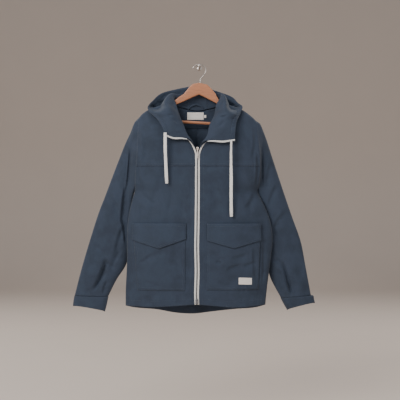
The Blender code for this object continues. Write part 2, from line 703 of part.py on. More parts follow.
def block(name, outline, low, high):
    """An outline in x and depth, from just in front of the teeth, drawn up between two heights."""
    x = float(zip_x(np.array(0.5 * (low + high))))
    z = np.linspace(low, high, 5)
    depth = float(front_depth(np.full(5, x), z).min()) - 0.8 - ZIP_TEETH_THICK / 2 - 0.5
    rings = np.array([[(x + a, depth + b, h) for a, b in outline] for h in (low, high)])
    made = tube(name, rings, "zip_metal")
    made.data.polygons.foreach_set("use_smooth", [False] * len(made.data.polygons))
    return made


def tab_pivot(slider_z):
    x = float(zip_x(np.array(slider_z)))
    z = np.linspace(slider_z - 5, slider_z + 5, 5)
    depth = float(front_depth(np.full(5, x), z).min()) - 0.8 - ZIP_TEETH_THICK / 2 - 0.5
    return x, depth - 5.0, slider_z + 1.0


def make_tab(slider_z):
    """The pull tab: a round hub between the slider's lugs and a thin plate below it."""
    x, y, z = tab_pivot(slider_z)
    hub = 1.8
    start = math.asin(TAB_THICK / 2 / hub)
    angles = np.linspace(-math.pi / 2 + start, 1.5 * math.pi - start, 15)
    outline = [(hub * math.cos(a), hub * math.sin(a)) for a in angles]
    outline += [(-TAB_THICK / 2, -TAB_LENGTH), (TAB_THICK / 2, -TAB_LENGTH)]
    rings = np.array([[(s, a, b) for a, b in outline] for s in (-TAB_WIDTH / 2, TAB_WIDTH / 2)])
    made = tube("zip_tab", rings, "zip_metal")
    made.data.polygons.foreach_set("use_smooth", [False] * len(made.data.polygons))
    made.location = (x * TO_METRES, y * TO_METRES, z * TO_METRES)


def sweep(name, path, radius, slot, sides=8):
    """A round bar along a path in a plane of constant depth."""
    ahead = np.gradient(path, axis=0)
    ahead /= np.linalg.norm(ahead, axis=1, keepdims=True)
    side = np.array([0.0, 1.0, 0.0])
    up = np.cross(ahead, side)
    turn = np.linspace(0, 2 * math.pi, sides, endpoint=False)
    rings = path[:, None, :] + radius * (
        np.cos(turn)[None, :, None] * side + np.sin(turn)[None, :, None] * up[:, None, :]
    )
    return tube(name, rings, slot)


def make_hanger():
    rows = WOOD
    x = rows[:, 0]
    count = 12
    turn = np.linspace(0, 2 * math.pi, count, endpoint=False) + math.pi / count
    c, s = np.cos(turn), np.sin(turn)
    depth = np.sign(c) * np.abs(c) ** 0.45
    rise = np.sign(s) * np.abs(s) ** 0.45
    depth /= np.abs(depth).max()
    rise /= np.abs(rise).max()
    top = np.where(np.abs(x) > ARM_FROM, shoulder_height(x) - ARM_DROP, rows[:, 1])
    middle, half = (top + rows[:, 2]) / 2, (top - rows[:, 2]) / 2
    rings = np.stack([
        x[:, None] + 0 * depth[None, :],
        HANGER_DEPTH + rows[:, 3:4] * depth[None, :],
        middle[:, None] + half[:, None] * rise[None, :],
    ], -1)
    tube("hanger_wood", rings, "wood")
    ends = np.array([(a, HANGER_DEPTH, b) for a, b in BAR_ENDS])
    sweep("hanger_bar", ends[0] + (ends[1] - ends[0]) * span(6)[:, None], BAR_RADIUS, "wood", sides=12)
    steps = np.linspace(0, len(HOOK) - 1, 31)
    line = smooth(np.arange(len(HOOK)), HOOK, steps)
    path = np.stack([line[:, 0], np.full(len(line), HANGER_DEPTH), line[:, 1]], -1)
    sweep("hanger_hook", path, WIRE_RADIUS, "steel", sides=7)


def make_peg():
    """The peg is turned: radius and depth from the wall to the front of the head."""
    profile = [(PEG_PLATE_RADIUS - 0.6, 0), (PEG_PLATE_RADIUS, -0.8), (PEG_PLATE_RADIUS - 1.5, -3.0)]
    profile += [(PEG_RADIUS, -3.6), (PEG_RADIUS, -PEG_LENGTH + 8.6)]
    centre = -PEG_LENGTH + 4.6
    for angle in np.radians([-58, -35, -10, 15, 40, 62, 78]):
        profile.append((PEG_HEAD_RADIUS * math.cos(angle), centre - 4.6 * math.sin(angle)))
    turn = np.linspace(0, 2 * math.pi, 16, endpoint=False)
    rings = np.array([[(r * math.cos(a), y, r * math.sin(a)) for a in turn] for r, y in profile])
    tube("wall_peg", rings, "steel")


def make_cords():
    for name, table in (("cord_left", CORD_LEFT), ("cord_right", CORD_RIGHT)):
        rows = smooth(np.arange(len(table)), table, np.linspace(0, len(table) - 1, 22))
        turn = np.radians(rows[:, 3])
        width = np.stack([np.cos(turn), -np.sin(turn), 0 * turn], -1)
        strip = np.stack([rows[:, :3] + width * CORD_WIDTH * k for k in (-0.5, 0.0, 0.5)], 1)
        sheet(name, strip, "cream_cord", thick=CORD_THICK)


def main():
    clear_scene()
    make_fronts()
    make_backs()
    make_sleeves()
    make_hood()
    make_pockets()
    make_labels()
    make_zip()
    make_hanger()
    make_peg()
    make_cords()


main()
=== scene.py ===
"""Hooded waterproof jacket on a wooden hanger: the pieces that show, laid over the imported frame.

Sizes in the tables are in millimetres. The wall is the plane y = 0, the front looks along -Y and Z is up.
"""

import math

import bpy
import numpy as np
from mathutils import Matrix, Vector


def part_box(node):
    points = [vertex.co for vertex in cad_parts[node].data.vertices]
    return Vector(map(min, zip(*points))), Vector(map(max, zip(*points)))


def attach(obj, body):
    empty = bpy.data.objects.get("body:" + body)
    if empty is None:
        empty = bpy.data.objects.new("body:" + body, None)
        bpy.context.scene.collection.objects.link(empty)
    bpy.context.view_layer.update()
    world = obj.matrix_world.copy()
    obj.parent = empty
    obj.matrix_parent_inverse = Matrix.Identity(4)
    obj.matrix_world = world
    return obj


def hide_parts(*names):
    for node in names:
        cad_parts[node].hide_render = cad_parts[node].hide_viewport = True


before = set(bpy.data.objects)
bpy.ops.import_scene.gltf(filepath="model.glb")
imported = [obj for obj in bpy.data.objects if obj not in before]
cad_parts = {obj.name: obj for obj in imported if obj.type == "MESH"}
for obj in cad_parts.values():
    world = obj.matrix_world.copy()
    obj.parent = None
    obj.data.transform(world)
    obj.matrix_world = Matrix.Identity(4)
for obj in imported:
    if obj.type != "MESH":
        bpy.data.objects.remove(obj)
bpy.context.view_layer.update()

bl_info = {
    "name": "Hooded jacket pieces",
    "version": (1, 0, 0),
    "blender": (4, 5, 0),
    "location": "View3D > Sidebar > Jacket",
    "description": "Cloth, zip, cords and hanger of a hooded waterproof jacket",
    "category": "Object",
}

TO_METRES = 0.001

# Main sizes
HANGER_DEPTH = -58.0
CREST_RADIUS_FRONT = 10.0
CREST_RADIUS_BACK = 8.0
CREST_REACH_FRONT = 115.0
CREST_REACH_BACK = 70.0
YOKE_SEAM_HEIGHT = -360.0
UNDERARM_HEIGHT = -451.0
HEM_HEIGHT = -857.0
MIDDLE_X = -8.0

# Zip
ZIP_TAPE_WIDTH = 5.0
ZIP_PANEL_EDGE = 7.8
ZIP_TOP = -293.0
ZIP_BOTTOM = -853.0

# Hanger and peg
WIRE_RADIUS = 1.7
BAR_RADIUS = 5.2
ARM_DROP = 3.0
ARM_FROM = 110.0
PEG_RADIUS = 3.0
PEG_HEAD_RADIUS = 6.5
PEG_LENGTH = 72.0
PEG_PLATE_RADIUS = 9.0

# Cords
CORD_WIDTH = 11.0
CORD_THICK = 2.0

# Shoulder line: x, height
SHOULDER = np.array([
    (-250, -236), (-232, -206), (-219.5, -190), (-206, -174), (-178, -156), (-135, -141), (-104, -131),
    (-8, -104), (90, -134.5), (111, -142), (157, -160), (185, -180), (206, -200), (220, -218), (240, -250),
], float)

# Body: height, left edge x, right edge x, front depth, back depth, front edge depth, back edge depth
BODY = np.array([
    (-910, -264, 236, -123, -11, -72, -72),
    (-862, -264, 236.5, -124, -10, -73, -73),
    (-805, -263.5, 241.5, -126, -9, -74, -74),
    (-712, -259, 253, -126, -9, -75, -75),
    (-626, -258.5, 262, -125, -9, -75, -75),
    (-569, -256, 256, -123, -10, -75, -75),
    (-515, -248, 238, -122, -12, -73, -73),
    (-480, -240, 222, -121, -14, -68, -68),
    (-451, -232, 210, -121, -17, -62, -62),
    (-425, -229, 214, -121, -20, -80, -46),
    (-390, -227, 217, -121, -24, -91, -34),
    (-340, -223, 217, -120, -29, -96, -29),
    (-260, -219, 212, -118, -31, -95, -30),
    (-200, -217, 205, -115, -31, -91, -31),
    (-100, -215, 200, -112, -30, -88, -31),
], float)

# Front neck edge: height, left x, right x
NECK_FRONT = np.array([
    (-293, -18, 2), (-280, -34, 20), (-258, -50, 36), (-222, -66, 50), (-184, -84, 66), (-155, -98, 82),
    (-131, -104, 90),
], float)

# Back neck edge: x, height
NECK_BACK = np.array([
    (-104, -131), (-84, -143), (-45, -154), (-8, -160), (30, -155), (68, -146), (90, -135),
], float)

# Zip line: height, x
ZIP_LINE = np.array([
    (-900, -9), (-853, -8.5), (-820, -9.8), (-797, -9.4), (-740, -7.6), (-702, -8.2), (-650, -9.2),
    (-575, -8.0), (-450, -6.8), (-360, -6.6), (-296, -6.2), (-280, -6.2),
], float)

# Hems: x, height
HEM_FRONT = np.array([
    (-264, -861.5), (-230, -861), (-180, -862.5), (-85, -858), (-20, -853.5), (-3, -853.5), (62, -859),
    (124, -864), (186, -861), (215, -859), (236, -858.5),
], float)
HEM_BACK = np.array([
    (-264, -862), (-235, -870), (-154, -881), (-85, -895), (-20, -899), (32, -893), (129, -880),
    (204, -870), (236, -859),
], float)

# Folds of the body: start x, start height, end x, end height, half width, depth (towards the wall)
FRONT_FOLDS = np.array([
    (-152, -430, -172, -560, 11, 3.0),
    (-90, -435, -112, -555, 10, 2.5),
    (172, -250, 208, -352, 12, 4.0),
    (120, -300, 168, -470, 16, 2.5),
    (-196, -300, -188, -450, 14, 2.5),
    (60, -820, 90, -870, 26, 3.0),
    (-150, -815, -120, -875, 24, -3.0),
    (190, -700, 225, -840, 18, 3.5),
], float)
BACK_FOLDS = np.array([
    (-110, -330, -140, -640, 22, -4.0),
    (40, -340, 70, -760, 26, -4.0),
    (-30, -420, -20, -830, 20, -3.5),
    (130, -380, 120, -700, 22, -3.5),
    (-190, -470, -180, -800, 18, -3.0),
], float)

# Sleeves: outer x, outer height, inner x, inner height, middle depth, half depth
SLEEVE_LEFT = np.array([
    (-219.5, -190, -232, -451, -60, 34),
    (-236, -207, -236.5, -462, -53, 31),
    (-249, -240, -240, -478, -48, 28),
    (-266, -276, -243, -498, -45, 26),
    (-283, -318, -244, -522, -43, 25),
    (-311, -390, -245, -562, -42, 24),
    (-341, -470, -246, -607, -41, 23),
    (-368, -540, -250, -652, -39, 22),
    (-404, -655, -267, -718, -39, 22),
    (-429, -742, -301, -772, -41, 22),
    (-451, -829, -331, -832, -43, 21),
], float)
SLEEVE_RIGHT = np.array([
    (206, -201, 210, -451, -60, 34),
    (220, -210, 211, -461, -53, 31),
    (233, -239, 214, -476, -48, 28),
    (246, -274, 222, -496, -45, 26),
    (258, -312, 231, -518, -43, 25),
    (281, -382, 238, -558, -42, 24),
    (310, -469, 242, -606, -41, 23),
    (337, -547, 243, -655, -39, 22),
    (367, -632, 247, -710, -39, 22),
    (384, -720, 259, -766, -41, 22),
    (404, -829, 296, -837, -43, 21),
], float)
CUFF_LEFT = np.array([
    (-451.6, -829.6, -330.6, -832.6, -43, 21.3),
    (-455, -849, -336, -860, -43, 23),
    (-457, -868, -343, -888, -43, 23.5),
], float)
CUFF_RIGHT = np.array([
    (405.5, -829.6, 295.6, -837.6, -43, 21.3),
    (413, -831, 297, -841, -43, 22.5),
    (415, -843, 307, -860, -43, 23),
    (418, -857, 320, -882, -43, 23.5),
], float)

# Folds of the sleeves: start x, start height, end x, end height, half width, depth (towards the wall)
SLEEVE_FOLDS = np.array([
    (-246, -285, -262, -450, 13, 7.0),
    (-262, -450, -276, -630, 13, 6.0),
    (-335, -700, -378, -800, 12, 8.0),
    (-300, -430, -350, -600, 16, -4.0),
    (274, -716, 335, -815, 12, 8.0),
    (232, -300, 236, -470, 12, 5.0),
    (268, -440, 318, -640, 16, -3.5),
    (330, -620, 372, -790, 14, 3.0),
], float)

# Hood, from the left front over the back to the right front. Columns, each x, depth, height:
# neck edge (depth from the body), roll, ridge, valley, rim
HOOD = np.array([
    (-17.5, 0, -291, -27, -131, -273, -58, -134, -264, -92, -137, -262.5, -122, -141, -251),
    (-49, 0, -256, -43, -127, -250, -72, -138, -240, -102, -141, -236, -129, -138, -229),
    (-65, 0, -219, -58, -116, -212, -90, -134, -198, -121, -136, -196, -148, -122, -198),
    (-83, 0, -181, -72, -100, -178, -104, -124, -160, -142, -119, -170, -178, -92, -168),
    (-98, 0, -152, -84, -79, -138, -122, -102, -136, -150, -20, -146, -185, -74, -148),
    (-103, 0, -129.5, -90, -58, -114, -108, -66, -103, -139, -29, -160, -168, -36, -121),
    (-82, 0, -142.5, -70, -42, -112, -84, -41, -104, -110, -16, -205, -140, -18, -94),
    (-44, 0, -152.5, -40, -36, -111, -44, -29, -106, -60, -13, -270, -92, -10, -79),
    (-8, 0, -158.5, -8, -34, -113, -8, -27, -108, -8, -13, -300, -8, -9, -66),
    (29, 0, -153.5, 25, -36, -112, 26, -29, -107, 38, -13, -270, 62, -10, -84),
    (66, 0, -144.5, 53, -41, -110, 62, -39, -104, 88, -16, -205, 117, -18, -105),
    (88.5, 0, -133, 78, -57, -109, 88, -66, -103, 115, -29, -160, 141, -38, -131),
    (82, 0, -154, 62, -79, -141, 94, -102, -136, 116, -20, -146, 155, -74, -148),
    (66, 0, -183, 53, -100, -183, 84, -124, -166, 117, -119, -173, 147, -92, -172),
    (49, 0, -221, 37, -117, -216, 72, -134, -206, 104, -136, -204, 133, -122, -203),
    (35, 0, -257, 29, -127, -254, 60, -138, -250, 95, -140, -246, 127, -138, -238),
    (1.5, 0, -291, 13, -130, -278, 46, -133, -273, 84, -136, -275, 125, -140, -269),
], float)
HOOD_CENTRE_FROM = 7.0
HOOD_CENTRE_TO = 9.0

# Pockets: left x at the top, right x at the top, left x below, right x below, top, bottom, gape at the sides
POCKET_LEFT = (-236.0, -49.0, -220.0, -50.0, -577.0, -803.0, 0.0, 0.0)
POCKET_RIGHT = (29.0, 217.0, 25.0, 210.0, -577.0, -801.0, 0.0, 5.0)
POCKET_LIFT = 2.0
POCKET_PUFF = 5.0
# Flaps: left x, right x, top, height at the left corner, at the point, at the right corner
FLAP_LEFT = (-239.0, -47.0, -566.0, -625.0, -655.0, -621.0)
FLAP_RIGHT = (27.0, 219.0, -566.5, -627.0, -654.0, -626.0)
FLAP_LIFT = 2.2

# Labels: left x, right x, top, bottom
NECK_LABEL = (-44.0, 16.0, -165.0, -192.0)
SIZE_TAB = (17.0, 25.0, -174.0, -185.0)
POCKET_PATCH = (139.0, 186.0, -758.0, -782.0)
PATCH_TILT = 0.035

# Hanger arms: x, top (under the shoulders the cloth gives it), bottom, half thickness
WOOD = np.array([
    (-205, -185, -201, 5.0), (-196, -177, -203, 6.0), (-182, -168, -203, 6.5), (-178.5, -167, -189, 6.5),
    (-150, -156, -177, 6.5), (-120, -147, -167, 6.5), (-104, -141, -156, 6.5), (-88, -124, -142, 6.5),
    (-74, -112, -135.5, 6.5), (-56, -101, -127.5, 6.5), (-45, -87, -122.5, 6.5), (-35, -74, -118, 6.5),
    (-24.5, -65, -113, 6.5), (0, -60, -103, 6.5), (28.5, -67, -117.5, 6.5), (41, -79, -124, 6.5),
    (58, -99, -133, 6.5), (67, -117, -138, 6.5), (90, -144, -156, 6.5), (111, -152, -170, 6.5),
    (135, -162, -184, 6.5), (164.5, -174, -196, 6.5), (168, -176, -223, 6.5), (180, -185, -223, 6.0),
    (190, -196, -220, 5.0),
], float)
BAR_ENDS = ((-177.9, -194.0), (163.9, -215.0))

# Hanger hook: x, height
HOOK = np.array([
    (-23.5, -10), (-19.5, -1.5), (-11, 3.6), (0, 5.0), (11, 2.4), (20.5, -5.5), (24, -17), (19, -29),
    (9.5, -39.5), (4.2, -49), (3.5, -60.2),
], float)

# Cords: x, depth, height, turn of the flat side in degrees
CORD_LEFT = np.array([
    (-119.5, -143.6, -247, 14), (-119.5, -143, -300, 6), (-117, -138, -370, 0), (-114.5, -132, -425, 2),
], float)
CORD_RIGHT = np.array([
    (112, -146.9, -272, 58), (111, -145, -330, 46), (112, -139, -400, 20), (112, -135, -480, 6),
    (113, -132, -542, 0),
], float)

SIDES = ((-1, "left"), (1, "right"))

# Where each hood row passes the neck edge, roll, ridge, valley and rim
HOOD_KNOTS = np.array([0.0, 0.14, 0.36, 0.68, 1.0])

# The pull's pivot: x, depth, height
PULL_PIVOT = (-6.2, -126.8, -300.0)

# Creases: start x, start height, end x, end height, bow, half width, depth (towards the wall), lean
FRONT_CREASES = np.array([
    (-212, -215, -205, -330, 6, 7, 3.2, 0.3), (-196, -240, -196, -352, -5, 9, 2.4, -0.3),
    (196, -222, 190, -340, -6, 8, 3.2, -0.3), (150, -196, 190, -300, 8, 10, 2.4, 0.2),
    (206, -300, 203, -440, -4, 7, 4.8, -0.4), (-214, -330, -206, -452, 5, 7, 4.4, 0.4),
    (-205, -452, -150, -500, 8, 9, 3.2, 0.3), (200, -455, 160, -520, -6, 9, 3, -0.3),
    (-130, -385, -142, -470, 5, 8, 1.8, 0.2), (40, -400, 58, -540, -8, 14, 2.6, 0.2),
    (140, -420, 118, -548, 7, 13, 2.6, -0.2), (178, -480, 176, -556, -4, 9, 2.2, 0.3),
    (-60, -470, -52, -560, 4, 9, 1.8, 0.2), (-205, -500, -200, -566, 3, 8, 2, -0.2),
    (-40, -640, -36, -800, -3, 8, 2, 0.3), (-246, -590, -240, -790, 3, 5, 2.8, 0.3),
    (226, -590, 224, -800, -4, 6, 4.4, -0.3), (-180, -822, -176, -858, 2, 14, 2.4, 0.2),
    (-60, -812, -70, -856, 2, 12, 2, -0.2), (150, -818, 156, -862, 2, 12, 2.2, 0.2),
    (30, -818, 24, -852, -2, 9, 1.8, 0.2),
], float)
BACK_CREASES = np.array([
    (-160, -200, -120, -330, 8, 12, -1.6, 0.3), (140, -210, 100, -360, -8, 12, -1.6, -0.3),
    (-196, -260, -190, -430, 5, 8, -2.2, 0.4), (186, -270, 182, -430, -5, 8, -2.0, -0.4),
    (-90, -520, -100, -700, 7, 12, -1.4, 0.2), (70, -430, 92, -600, -7, 11, -1.3, 0.2),
    (160, -560, 150, -760, 5, 10, -1.5, -0.2), (-210, -560, -205, -700, 4, 9, -1.4, 0.3),
    (-150, -790, -140, -870, 3, 12, -1.5, 0.2), (100, -800, 108, -880, -3, 13, -1.4, 0.2),
    (-8, -190, -8, -860, 1.5, 6.5, 8.0, 0.2), (-70, -225, -40, -420, 10, 14, -1.2, 0.2),
    (60, -240, 34, -400, -10, 14, -1.0, 0.2),
], float)
SLEEVE_CREASES = np.array([
    (-300, -372, -255, -470, -8, 9, 3.06, 0.3), (-330, -455, -276, -580, -6, 10, 3.4, 0.3),
    (-262, -560, -300, -690, 8, 8, 4.42, -0.3), (-390, -640, -330, -700, -6, 8, 3.06, 0.3),
    (-332, -692, -384, -815, -9, 5, 12.0, 0.5), (-352, -690, -300, -730, 5, 7, 4.08, 0.2),
    (-420, -700, -436, -800, 3, 9, 2.38, 0.2), (-330, -770, -346, -826, 3, 6, 4.08, -0.3),
    (-280, -660, -318, -745, 6, 7, 4.08, 0.3), (-246, -235, -262, -330, 5, 7, 3.74, 0.4),
    (-286, -330, -300, -420, 4, 10, 1.7, 0.2), (-400, -800, -396, -829, 1, 7, 2.38, 0.2),
    (-249, -275, -266, -470, -4, 5.5, 7.0, -0.5), (-265, -430, -280, -575, 2, 7, 10.0, -0.5),
    (-280, -545, -266, -650, -3, 6, 9.0, -0.4), (228, -280, 230, -452, 3, 5.5, 7.0, 0.5),
    (262, -340, 246, -450, 5, 8, 3.06, -0.3), (290, -420, 250, -520, 7, 9, 3.4, -0.3),
    (322, -520, 262, -610, 8, 9, 3.4, -0.3), (252, -560, 300, -700, -8, 9, 3.74, 0.3),
    (298, -700, 338, -850, -4, 4.5, 14.0, 0.6), (268, -690, 306, -735, -4, 8, 4.42, 0.3),
    (352, -660, 376, -760, -4, 9, 2.55, 0.2), (384, -760, 396, -826, 2, 8, 2.38, 0.2),
    (290, -770, 300, -830, 2, 6, 3.4, -0.3), (240, -250, 252, -330, -4, 7, 3.06, 0.4),
    (340, -790, 352, -829, 1, 6, 2.72, 0.2),
], float)
SLEEVE_BACK_CREASES = np.array([
    (-330, -420, -262, -520, 7, 10, 2.4, 0.3), (-300, -500, -350, -640, 7, 10, 2.2, -0.3),
    (-390, -600, -290, -660, 9, 9, 2.8, 0.3), (-340, -690, -385, -800, 6, 8, 2.8, 0.3),
    (-255, -300, -262, -430, 5, 9, 2.6, 0.4), (-420, -720, -350, -780, 6, 9, 2.0, 0.3),
    (300, -440, 246, -540, 7, 10, 2.4, -0.3), (280, -500, 330, -640, -7, 10, 2.2, 0.3),
    (372, -640, 262, -690, -8, 9, 2.6, -0.3), (320, -700, 360, -800, -6, 8, 2.6, 0.3),
    (238, -290, 240, -430, -5, 9, 2.4, -0.4), (390, -740, 300, -790, -6, 9, 2.0, 0.2),
], float)
HOOD_FACE_CREASES = np.array([
    (-150, -172, -86, -184, 6, 5, 3.52, 0.3), (-120, -196, -70, -216, -5, 6, 3.08, -0.3),
    (-110, -232, -60, -250, 4, 6, 2.64, 0.3), (-96, -130, -78, -170, 4, 6, 3.52, 0.2),
    (120, -176, 66, -190, -6, 5, 3.52, -0.3), (118, -206, 60, -232, 6, 6, 3.3, 0.3),
    (104, -226, 84, -268, 4, 5, 3.3, -0.3), (80, -130, 66, -170, -4, 6, 3.96, 0.2),
    (-60, -118, -40, -114, 2, 5, 2.2, 0.2),
], float)
HOOD_REAR_CREASES = np.array([
    (-156, -130, -112, -108, 6, 6, 5.2, 0.4), (-140, -112, -92, -94, -5, 5, 4.4, -0.4),
    (-128, -146, -96, -112, 5, 6, 4.8, 0.4), (-104, -100, -60, -86, 4, 5, 4, 0.3),
    (132, -140, 96, -112, -6, 6, 5.2, -0.4), (122, -116, 76, -98, 5, 5, 4.4, 0.4),
    (88, -104, 50, -88, -4, 5, 3.6, 0.3), (-60, -120, -44, -86, 3, 7, 3.2, 0.3),
    (44, -124, 36, -90, -3, 7, 3.2, 0.3),
], float)
POCKET_CREASES = np.array([
    (-219, -712, -166, -673, 5, 10, 2.7, 0.4), (-196, -700, -120, -664, -5, 9, 1.8, 0.3),
    (-90, -640, -60, -760, 5, 12, 1.62, 0.2), (-200, -770, -130, -790, 4, 10, 1.62, 0.2),
    (58, -698, 82, -706, 2, 6, 2.88, 0.4), (90, -739, 157, -712, -5, 8, 3.6, 0.5),
    (150, -716, 203, -700, 4, 8, 3.6, 0.5), (40, -660, 90, -700, 5, 10, 2.16, 0.3),
    (110, -690, 170, -676, 4, 9, 2.52, 0.3), (196, -640, 202, -770, 3, 8, 3.6, -0.4),
    (60, -770, 120, -790, 4, 11, 1.44, 0.2),
], float)

# Seams that pucker: line of (x, height), reach, size, phase
FRONT_SEAMS = (
    (((-223, -362), (217, -362)), 8.0, 0.45, 0.3),
    (((-20, -300), (-22, -853)), 8.0, 0.35, 1.1),
    (((5, -300), (4, -853)), 8.0, 0.35, 2.0),
    (((-262, -840), (-180, -841), (-20, -833)), 9.0, 0.5, 0.7),
    (((4, -833), (124, -842), (234, -838)), 9.0, 0.5, 2.7),
    (((-236, -577), (-220, -803), (-50, -803), (-49, -577)), 7.0, 0.45, 1.9),
    (((29, -577), (25, -801), (210, -801), (217, -577)), 7.0, 0.45, 3.3),
    (((-219, -190), (-217, -260), (-223, -340), (-227, -390), (-232, -451)), 8.0, 0.5, 0.9),
    (((206, -201), (212, -260), (217, -340), (217, -390), (210, -451)), 8.0, 0.5, 1.5),
)
BACK_SEAMS = (
    (((-8, -165), (-8, -890)), 8.0, 0.45, 0.6),
    (((-260, -842), (-154, -860), (-20, -878), (129, -859), (232, -838)), 9.0, 0.5, 1.2),
    (((-219, -190), (-217, -260), (-227, -390), (-232, -451)), 8.0, 0.5, 2.1),
    (((206, -201), (212, -260), (217, -390), (210, -451)), 8.0, 0.5, 2.6),
)



# Form of the cloth

def smooth(keys, values, at):
    """A curve through a table's rows: cubic pieces, with each row's slope that between its neighbours."""
    order = np.argsort(keys)
    keys = np.asarray(keys, float)[order]
    values = np.asarray(values, float)[order]
    at = np.clip(np.asarray(at, float), keys[0], keys[-1])
    gaps = np.diff(keys)
    rise = np.diff(values, axis=0)
    slope = rise / gaps.reshape((-1,) + (1,) * (values.ndim - 1))
    tangent = np.concatenate([slope[:1], 0.5 * (slope[1:] + slope[:-1]), slope[-1:]])
    index = np.clip(np.searchsorted(keys, at, side="right") - 1, 0, len(gaps) - 1)
    wide = at.shape + (1,) * (values.ndim - 1)
    t = ((at - keys[index]) / gaps[index]).reshape(wide)
    length = gaps[index].reshape(wide)
    return (
        values[index] * (2 * t**3 - 3 * t**2 + 1)
        + tangent[index] * length * (t**3 - 2 * t**2 + t)
        + values[index + 1] * (3 * t**2 - 2 * t**3)
        + tangent[index + 1] * length * (t**3 - t**2)
    )


def step(low, high, value):
    """0 below low, 1 above high, and a smooth rise between them."""
    t = np.clip((value - low) / (high - low), 0, 1)
    return t * t * (3 - 2 * t)


def folds(table, x, z):
    """Depth of soft troughs and ridges, each along a line that fades at both ends."""
    total = np.zeros(np.broadcast(x, z).shape)
    for x0, z0, x1, z1, half_width, depth in table:
        along = np.array([x1 - x0, z1 - z0])
        length = np.hypot(*along)
        along /= length
        s = ((x - x0) * along[0] + (z - z0) * along[1]) / length
        off = (x - x0) * along[1] - (z - z0) * along[0]
        total += depth * np.exp(-((off / half_width) ** 2)) * step(0, 1, 1.15 - np.abs(2 * s - 1))
    return total


def creases(table, x, z):
    """Creases: troughs along an arc, steeper on one side, with a low ridge beside them."""
    total = np.zeros(np.broadcast(x, z).shape)
    for x0, z0, x1, z1, bow, half_width, depth, lean in table:
        along = np.array([x1 - x0, z1 - z0], float)
        length = np.hypot(*along)
        along /= length
        s = ((x - x0) * along[0] + (z - z0) * along[1]) / length
        inside = np.clip(s, 0, 1)
        off = (x - x0) * along[1] - (z - z0) * along[0] - bow * 4 * inside * (1 - inside)
        q = off / (half_width * (1 + lean * np.tanh(off / half_width)))
        shape = np.exp(-q * q) - 0.3 * np.exp(-((q - 2.0) ** 2))
        total += depth * shape * step(0, 0.7, 1.05 - np.abs(2 * s - 1))
    return total


def sway(x, z, size, phase):
    """Broad uneven waves of the cloth: five crossed sines, none a multiple of another."""
    a = np.sin(x / 31.0 + 0.7 * np.sin(z / 57.0 + phase) + phase)
    b = np.sin(z / 43.0 + 0.9 * np.sin(x / 39.0 + 2 * phase))
    c = np.sin((x + 0.6 * z) / 23.0 + 1.3 * phase + np.sin(z / 71.0))
    d = np.sin((x - 0.8 * z) / 17.0 + 2.1 * phase + 1.2 * np.sin(x / 47.0))
    e = np.sin(x / 71.0 + z / 97.0 + phase)
    return size * (0.3 * a + 0.2 * b + 0.2 * c + 0.12 * d + 0.5 * e)


def ripple(s, phase):
    """Puckers of a seam along its length: uneven waves about 9 to 16 mm long, from -1 to 1."""
    bend = s / 2.1 + 1.9 * np.sin(s / 23.0 + phase) + 1.1 * np.sin(s / 7.7 + 2 * phase)
    return np.sin(bend) * (0.6 + 0.4 * np.sin(s / 31.0 + 3 * phase))


def off_line(line, x, z):
    """Distance from a line of (x, height) points, and how far along it the nearest point lies."""
    line = np.asarray(line, float)
    best = np.full(np.broadcast(x, z).shape, 1e9)
    along = np.zeros_like(best)
    start = 0.0
    for p, q in zip(line[:-1], line[1:]):
        run = np.hypot(*(q - p))
        t = np.clip(((x - p[0]) * (q[0] - p[0]) + (z - p[1]) * (q[1] - p[1])) / run**2, 0, 1)
        away = np.hypot(x - p[0] - t * (q[0] - p[0]), z - p[1] - t * (q[1] - p[1]))
        along = np.where(away < best, start + t * run, along)
        best = np.minimum(best, away)
        start += run
    return best, along


def puckers(lines, x, z):
    """Puckers beside each seam line, dying out with the distance from it."""
    total = np.zeros(np.broadcast(x, z).shape)
    for line, reach, size, phase in lines:
        away, along = off_line(line, x, z)
        total += size * np.exp(-((away / reach) ** 2)) * ripple(along, phase)
    return total


def shoulder_height(x):
    return smooth(SHOULDER[:, 0], SHOULDER[:, 1], x)


def body_row(z):
    """left x, right x, front depth, back depth, front edge depth, back edge depth at this height"""
    return np.moveaxis(smooth(BODY[:, 0], BODY[:, 1:], z), -1, 0)


def crest(below, full, radius, reach):
    """How far the cloth stands off the hanger's middle plane this far below the shoulder line."""
    near = np.clip(below / radius, 0, 1)
    far = np.clip(below / reach, 0, 1)
    first = np.minimum(full, radius)
    return first * np.sqrt(1 - (1 - near) ** 2) + (full - first) * (1 - (1 - far) ** 1.8)


def across(x, left, right):
    side = np.where(x < MIDDLE_X, left, right)
    return np.clip(np.abs((x - MIDDLE_X) / (side - MIDDLE_X)), 0, 1)


def held(x, z, left, right):
    """How free the cloth is to crease: 1 inside, 0 at the side seam below the underarm."""
    below = step(-UNDERARM_HEIGHT - 10, -UNDERARM_HEIGHT + 15, -z)
    return 1 - step(0.955, 1.0, across(x, left, right)) * below


def front_form(x, z):
    """Depth of the front sheet: a flattened oval from edge to edge, drawn in under the shoulder line."""
    left, right, front, _, edge, _ = body_row(z)
    flat = edge + (front - edge) * (1 - across(x, left, right) ** 3) ** 0.6
    stand = crest(shoulder_height(x) - z, HANGER_DEPTH - flat, CREST_RADIUS_FRONT, CREST_REACH_FRONT)
    return HANGER_DEPTH - stand + folds(FRONT_FOLDS, x, z)


def back_form(x, z):
    left, right, _, back, _, edge = body_row(z)
    flat = edge + (back - edge) * (1 - across(x, left, right) ** 2.2) ** 1.1
    stand = crest(shoulder_height(x) - z, flat - HANGER_DEPTH, CREST_RADIUS_BACK, CREST_REACH_BACK)
    return HANGER_DEPTH + stand + folds(BACK_FOLDS, x, z)


